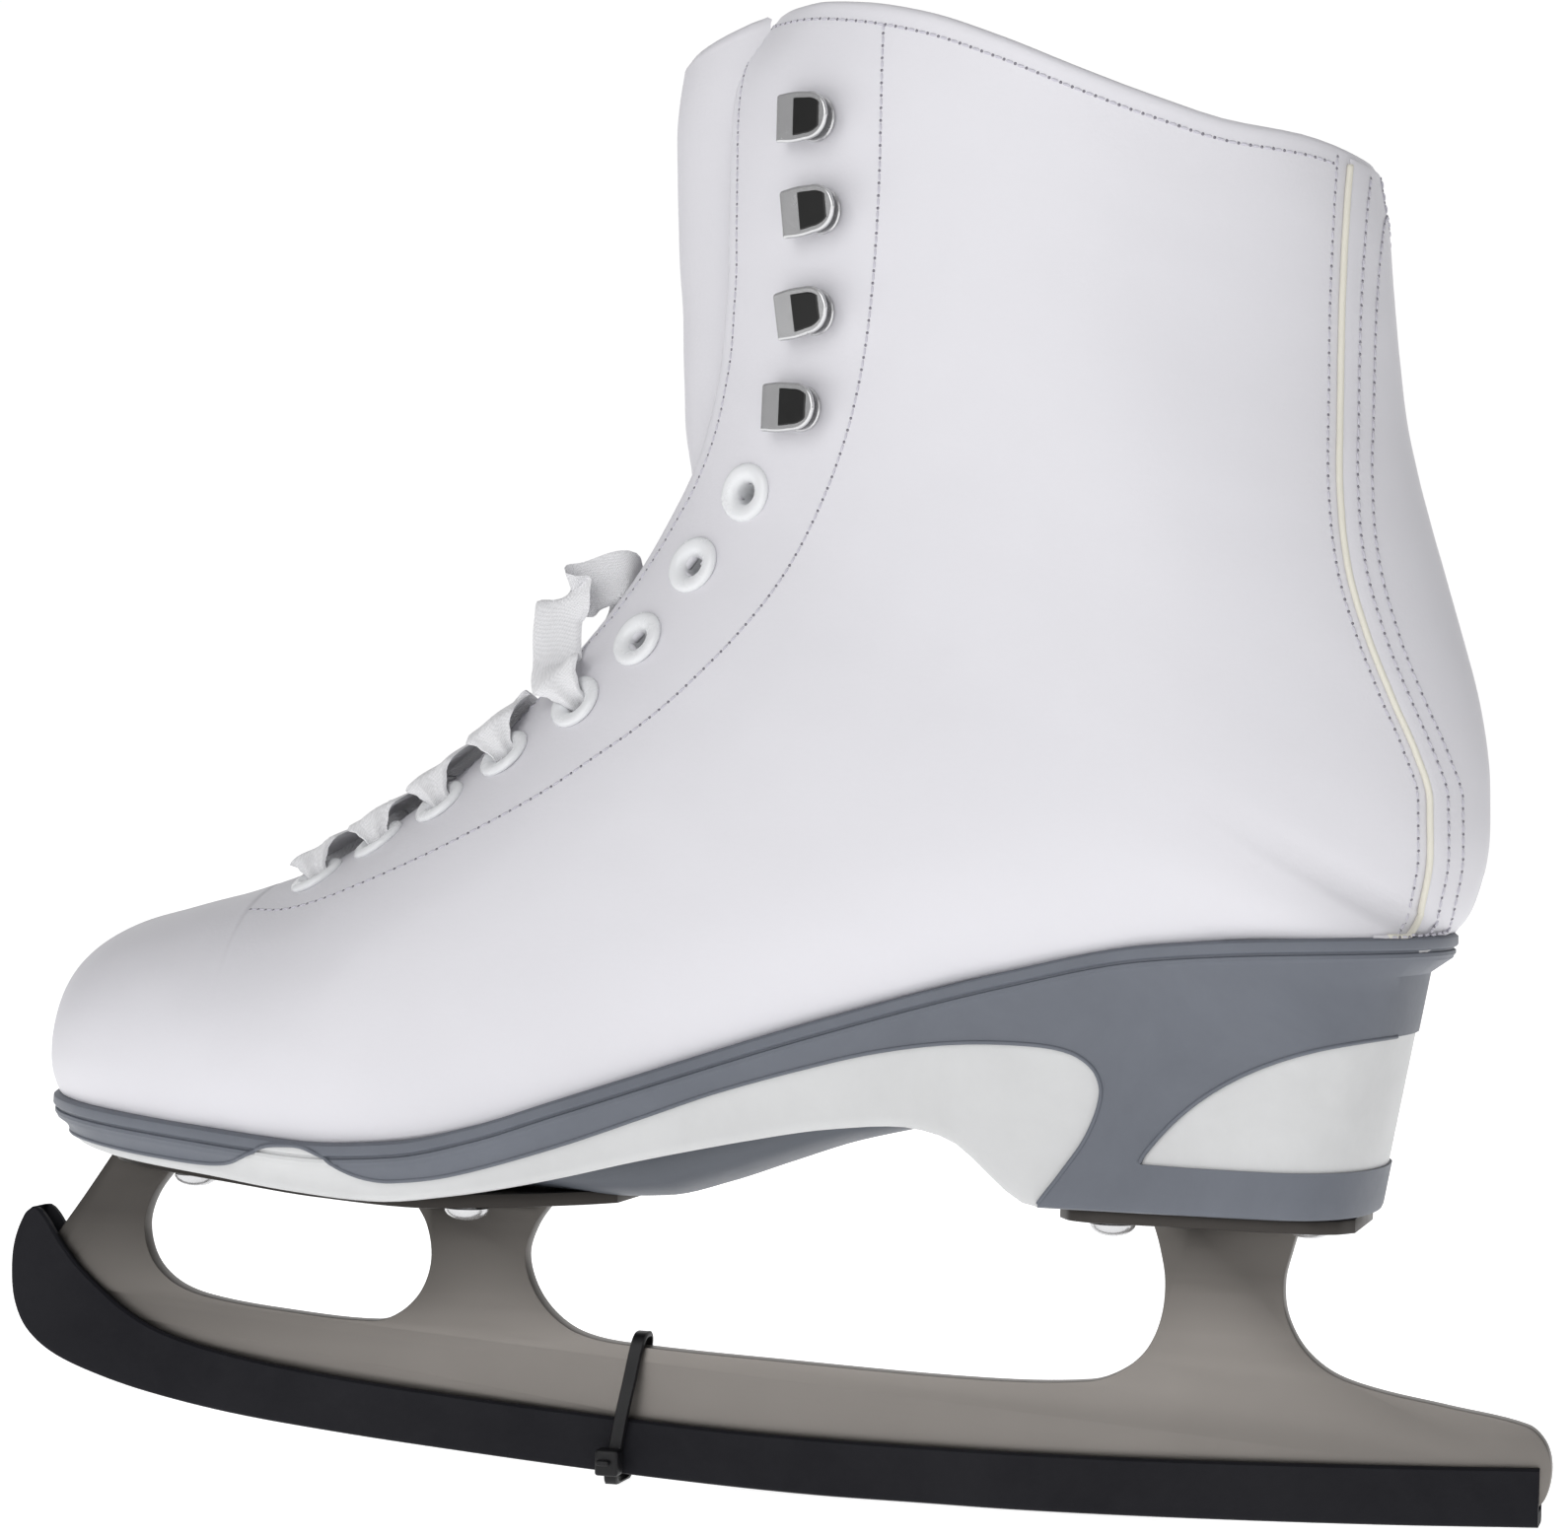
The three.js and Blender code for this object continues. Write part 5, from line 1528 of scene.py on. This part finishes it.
def tongue_piece():
    keys = tongue_rings()
    rows, per, n = [], 9, 22
    for i in range(len(keys) - 1):
        for k in range(per):
            t = k / per
            mixed = []
            for item in range(5):
                p0, p1 = keys[max(i - 1, 0)][item], keys[i][item]
                p2, p3 = keys[i + 1][item], keys[min(i + 2, len(keys) - 1)][item]
                m0, m1 = (p2 - p0) * 0.5, (p3 - p1) * 0.5
                mixed.append(p1 * (1 + 2 * t) * (1 - t) ** 2 + m0 * t * (1 - t) ** 2
                             + p2 * t * t * (3 - 2 * t) + m1 * t * t * (t - 1))
            rows.append(mixed)
    rows.append(list(keys[-1]))
    last = rows[-1]
    for lift, shrink in ((1.0, 0.8), (1.5, 0.4)):
        narrow = last[2] - (1 - shrink) * 1.2
        rows.append([last[0] + Vector((0.3, 0, lift)), last[1], narrow, last[3] * shrink,
                     last[4]])
    points = []
    for r, (at, along, half, thick, sweep) in enumerate(rows):
        if r >= len(rows) - 2:
            at = at + along * thick * 0.5 * (1 - (0.8 if r == len(rows) - 2 else 0.4))
        for side in (1, -1):
            for k in range(n + 1):
                u = (2 * k / n - 1) * side
                round_edge = (1 - abs(u) ** 5) ** 0.5
                seam = 1 - 0.2 * math.exp(-((abs(u) - 0.86) / 0.045) ** 2)
                depth = thick * 0.5 * (1 - side * round_edge * seam)
                back = sweep * (1 - math.cos(u * math.pi / 2)) + depth
                p = at + along * back
                dip = 7.5 * (1 - abs(u) ** 1.6) * smooth((at.z - 248) / 28)
                points.append(Vector((p.x, half * math.sin(u * math.pi / 2), p.z - dip)))
    count = 2 * (n + 1)
    points = [p + Vector((1, 0, 0)) * 0.35 * noise.noise(p / 13) for p in points]
    tongue = make("tongue_look", points, loft_faces(len(rows), count), TONGUE)
    shade_by_angle(tongue, 60)
    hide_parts("tongue_lower", "tongue_upper")
    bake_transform(tongue)
    return tongue


tongue_piece()


def tongue_base_piece():
    """The tongue's foot, stitched under the vamp where the throat begins."""
    rows, n, points = 14, 12, []
    for r in range(rows + 1):
        s = 4.7 + 2.2 * r / rows
        top = front_point(s)
        inward = (front_point(s, 1) - top).normalized()
        for k in range(n + 1):
            y = 9.5 * (2 * k / n - 1)
            p = top + inward * (3.9 + 0.012 * y * y + 1.2 * smooth((s - 6) / 0.9))
            points.append(Vector((p.x, foot_axis_y(p.x) + y, p.z)))
    faces = [[r * (n + 1) + k, r * (n + 1) + k + 1, (r + 1) * (n + 1) + k + 1, (r + 1) * (n + 1) + k]
             for r in range(rows) for k in range(n)]
    base = make("tongue_base_look", *thick_sheet(points, faces, 1.2, 2), TONGUE)
    shade_by_angle(base, 50)
    rest_on(base, "boot", slot="tongue_leather")


tongue_base_piece()


def footbed_piece():
    rows, n = 72, 22
    points = []
    for r in range(rows + 1):
        t = 0.5 - 0.5 * math.cos(math.pi * r / rows)
        x = -126 + 242 * t
        axis = foot_axis_y(x)
        low = -(max(outline_width(x, -1) - 13.5, 0.5))
        high = max(outline_width(x, 1) - 13.5, 0.5)
        end = clamp(min(x + 126, 116 - x) / 6)
        for side in (1, -1):
            for k in range(n + 1):
                u = (2 * k / n - 1) * side
                y = axis + (high if u > 0 else low) * abs(math.sin(u * math.pi / 2))
                edge = (1 - abs(u) ** 8) ** 0.5 * end ** 0.4
                cup = 0.7 * u * u - 0.3
                z = feather_z(x) + 12.9 + side * edge * (1.6 + (cup * 0.4 if side > 0 else 0))
                points.append(Vector((x, y, z)))
    bed = make("footbed_look", points, loft_faces(rows + 1, 2 * (n + 1)), FOOTBED)
    rest_on(bed, "boot", "footbed", slot="footbed")


footbed_piece()


# ---- laces ----------------------------------------------------------------------------
LACE_STATIONS = (6.1, 7.05, 7.9, 8.75, 9.65, 10.65, 12.15, 14)
THROAT = {}
for key, seat in eyelet_seats.items():
    word, i = key
    later = eyelet_seats[(word, min(i + 1, 8))].translation - eyelet_seats[(word, max(i - 1, 1))].translation
    THROAT[key] = later.normalized()


def off(key, gapward, height):
    m = eyelet_seats[key]
    return m.translation + m.col[0].to_3d() * gapward + m.col[2].to_3d() * height


EYELET_STATION = {(w, i + 1): s for w in ("outer", "inner") for i, s in enumerate(LACE_STATIONS)}


def outward_at(s):
    return (front_point(s) - front_point(s, 1)).normalized()


def edge_spot(key, height):
    s = EYELET_STATION[key]
    side = 1 if key[0] == "inner" else -1
    return skin(s, edge_share(s, side), side) + outward_at(s) * height


def crossing(i, height):
    s = (EYELET_STATION[("inner", i)] + EYELET_STATION[("inner", i + 1)]) / 2
    return front_point(s) + outward_at(s) * height


def dive(key, lift=0.0):
    """Stops of a run that goes over the edge, across the eyelet's rim and down its hole."""
    way = THROAT[key]
    inside = edge_spot(key, -1.4) + eyelet_seats[key].col[0].to_3d() * 2.8
    return [
        (inside, way, 13.4, 0.05), (edge_spot(key, 2.4 + lift), way, 14.6, 0.1),
        (off(key, 5.8, 3.7 + lift * 0.6), way, 11.6, 0.3),
        (off(key, 2.8, 2.7), way, 7.2, 0.75), (off(key, 0.8, 0.9), way, 4.8, 1.0),
        (off(key, 0.1, -2.6), way, 3.7, 1.0),
        (off(key, 0.5, -6.0), way, 5.6, 0.7)]


LACED_PAIRS = 5
LOOSE_LOOP = [
    ((-26.5, -1, 167), (0.25, -0.5, 0.8), 8.6), ((-26, -6, 172.6), (0, 0, 1), 9.4),
    ((-32.4, -7.4, 170.6), (0.1, 0, 1), 9.6), ((-36.6, -8.6, 168.4), (0.72, 0, 0.7), 13),
    ((-36.9, -10.2, 167.8), (0.74, 0, 0.67), 13), ((-37.8, -12, 163), (1, 0, 0.1), 9.8),
    ((-36.6, -15.6, 155.5), (1, 0, 0.1), 9.6)]


def lace_half(start, heights):
    stops = []
    for i in range(1, LACED_PAIRS + 1):
        word = start if i % 2 else ("inner" if start == "outer" else "outer")
        key = (word, i)
        way = THROAT[key]
        hole = dive(key, 0.5 if i > 1 else 0)
        if i == 1:
            stops += hole
        if i == LACED_PAIRS:
            break
        stops += [(edge_spot(key, -4.4), way, 8.6, 0.25)]
        other = ("inner" if word == "outer" else "outer", i + 1)
        if i + 1 == LACED_PAIRS and word == "inner":
            stops += [(Vector(p), Vector(lean).normalized(), width, 0.15) for p, lean, width in LOOSE_LOOP]
            stops += dive(other)[2:]
        else:
            stops.append((crossing(i, heights), (way + THROAT[other]).normalized(), 10.2, 0.15))
            stops += dive(other, 0.5)
    return stops


def ribbon_line(stops, step=0.7):
    """A smooth line through the stops, with its width direction, width and gather."""
    spots = [s[0] for s in stops]
    samples = []
    for i in range(len(stops) - 1):
        p1, p2 = spots[i], spots[i + 1]
        p0, p3 = spots[max(i - 1, 0)], spots[min(i + 2, len(stops) - 1)]
        chord = (p2 - p1).length
        m1 = (p2 - p0) * (chord / max((p2 - p1).length + (p1 - p0).length, 1e-6))
        m2 = (p3 - p1) * (chord / max((p3 - p2).length + (p2 - p1).length, 1e-6))
        count = max(3, round(chord / step))
        for k in range(count + (i == len(stops) - 2)):
            t = k / count
            p = (p1 * (1 + 2 * t) * (1 - t) ** 2 + m1 * t * (1 - t) ** 2
                 + p2 * t * t * (3 - 2 * t) + m2 * t * t * (t - 1))
            e = smooth(t)
            width = stops[i][2] * (1 - e) + stops[i + 1][2] * e
            samples.append((p, stops[i][1].lerp(stops[i + 1][1], e), width,
                            stops[i][3] * (1 - e) + stops[i + 1][3] * e))
    return samples


def ribbon(name, samples, thick=1.05, across=13):
    """A flat woven lace: its section gathers into folds where it narrows."""
    rows = []
    kept = None
    for i, (p, way, width, gather) in enumerate(samples):
        ahead = (samples[min(i + 1, len(samples) - 1)][0] - samples[max(i - 1, 0)][0]).normalized()
        flat = way - ahead * way.dot(ahead)
        if flat.length < 0.25 and kept is not None:
            flat = kept - ahead * kept.dot(ahead)
        flat = flat.normalized()
        if kept is not None:
            flat = (kept * 0.35 + flat * 0.65)
            flat = (flat - ahead * flat.dot(ahead)).normalized()
        kept = flat
        up = ahead.cross(flat)
        ring = []
        for face in (1, -1):
            for k in range(across):
                u = (2 * k / (across - 1) - 1) * face
                body = thick * 0.5 * (1 - abs(u) ** 6) ** 0.5
                fold = gather * 0.62 * math.sin(u * math.pi * 1.75 + 0.8) - 0.18 * u * u
                half = width / 2 * (math.sin(u * math.pi / 2) * 0.35 + u * 0.65)
                ring.append(p + flat * half + up * (fold + face * body * (1 - 0.25 * gather)))
        rows.append(ring)
    points = [q for ring in rows for q in ring]
    obj = make(name, points, loft_faces(len(rows), 2 * across), LACE)
    shade_by_angle(obj, 70)
    return obj


first = lace_half("outer", -2.0)
second = lace_half("inner", -3.7)
lacing = ribbon("lace_lacing_look", ribbon_line(first[::-1] + second))
rest_on(lacing, "boot", "lace_lacing", slot="lace")

HANK = {"x0": 6, "x1": 108, "half": 9.5, "lift": 15.2, "high": 7}
HANK_TURNS, HANK_PITCH, HANK_WIDTH = 2.75, 2.5, 6.6


def hank_spot(x, y, middle):
    z = feather_z(clamp(x, HANK["x0"], HANK["x1"])) + HANK["lift"] + HANK["high"] / 2
    return Vector((x, middle + y, z))


def hank_line(side):
    """A flat lace stood on edge and wound round in long narrow turns, from the outside in."""
    middle = side * 11.2
    x0, x1 = HANK["x0"] + 0.8, HANK["x1"] - 0.8
    reach = HANK["half"] - 1.0
    line = []
    steps = 500
    for k in range(int(HANK_TURNS * steps) + 1):
        turn = k / steps
        r = reach - HANK_PITCH * turn
        share = turn % 1.0
        straight = (x1 - x0) - 2 * reach
        length = 2 * straight + 2 * math.pi * r
        at = share * length
        left, right = x0 + reach, x1 - reach
        if at < straight:
            x, y = left + at, r
        elif at < straight + math.pi * r:
            a = (at - straight) / r
            x, y = right + r * math.sin(a), r * math.cos(a)
        elif at < 2 * straight + math.pi * r:
            x, y = right - (at - straight - math.pi * r), -r
        else:
            a = (at - 2 * straight - math.pi * r) / r
            x, y = left - r * math.sin(a), -r * math.cos(a)
        line.append(hank_spot(x, -side * y if side > 0 else y, middle))
    return line


def dense(points, step=2.0):
    """The same line with points about a step apart."""
    out = [points[0]]
    for a, b in zip(points, points[1:]):
        n = max(1, round((b - a).length / step))
        out += [a.lerp(b, (k + 1) / n) for k in range(n)]
    return out


def line_length(points):
    return sum((b - a).length for a, b in zip(points, points[1:]))


def tail_piece(word, side):
    key = (word, LACED_PAIRS)
    wound = hank_line(side)
    lead = [off(key, 0.3, -5.9), off(key, -4.2, -7.0), off(key, -9, -8.2), Vector((-15, side * 19.5, 132.5)),
            Vector((-7, side * 18.5, 121)), Vector((2, side * 17.5, 112.5)),
            Vector((12, side * 19.2, 109.2))]
    start = next(i for i, p in enumerate(wound) if p.x > 24)
    path = rounded(lead + [wound[start]], closed=False, per=7)
    path = [Vector(p) for p in path[:-1]] + wound[start:]
    path = dense(path, 1.6)
    samples = []
    for i, p in enumerate(path):
        share = smooth(i / 40)
        way = THROAT[key].lerp(Vector((0, 0, 1)), share)
        samples.append((p, way, 5.6 + (HANK_WIDTH - 5.6) * smooth(i / 14), 0.5 * (1 - smooth(i / 14))))
    cord = ribbon(f"lace_end_{word}", samples, 0.95, 9)
    rest_on(cord, "boot", f"lace_tail_{word}", f"lace_hank_{word}", slot="lace")
    end, before = path[-1], path[-4]
    run = (end - before).normalized()
    seat = Matrix.Translation(end - run * 1.5) @ run.to_track_quat("Z", "Y").to_matrix().to_4x4()
    tip = [(0, 0), (1.35, 0), (1.45, 0.4), (1.35, 16), (1.1, 17.2), (0, 17.4)]
    aglet = lathe(f"lace_tip_{word}", tip, 20, seat,
                  WHITE, 40)
    rest_on(aglet, "boot", slot="lace")
    print(f"lace end {word}: {line_length(path):.0f} mm")
    return cord


def hank_band(word, side):
    """A soft band round the middle of the wound lace."""
    middle = side * 11.2
    outline = rounded_box(9.7, 8.2, 1.6, 4)
    rows = []
    for x, grow in ((53, 0), (53, 0.6), (53.5, 0.9), (57, 1.0), (60.5, 0.9), (61, 0.6), (61, 0)):
        base = feather_z(x) + HANK["lift"] + HANK["high"] + 0.6
        rows.append([Vector((x, middle + y * (1 + grow * 0.04),
                             base + z + (grow * 0.3 if z > -4 else -grow * 0.1)))
                     for y, z in outline])
    points = [p for row in rows for p in row]
    count = len(outline)
    faces = loft_faces(len(rows), count, caps=False)
    last = (len(rows) - 1) * count
    faces += [[last + i, last + (i + 1) % count, (i + 1) % count, i] for i in range(count)]
    band = make(f"lace_band_{word}", points, faces, LINING)
    rest_on(band, "boot", slot="lace")


for word, side in SIDES:
    tail_piece(word, side)
    hank_band(word, side)


# ---- CAD nodes that stay, the floor, and the end --------------------------------------
for node, mat in (("heel_counter", BOARD), ("insole_board", BOARD)):
    held = bpy.data.objects[node]
    held.data.materials.clear()
    held.data.materials.append(mat)


def floor_piece():
    bm = bmesh.new()
    bmesh.ops.create_circle(bm, cap_ends=True, segments=96, radius=6)
    mesh = bpy.data.meshes.new("floor")
    bm.to_mesh(mesh)
    bm.free()
    obj = finish_mesh("floor", mesh, FLOOR)
    obj.location = (0, 0, -0.0004)


floor_piece()
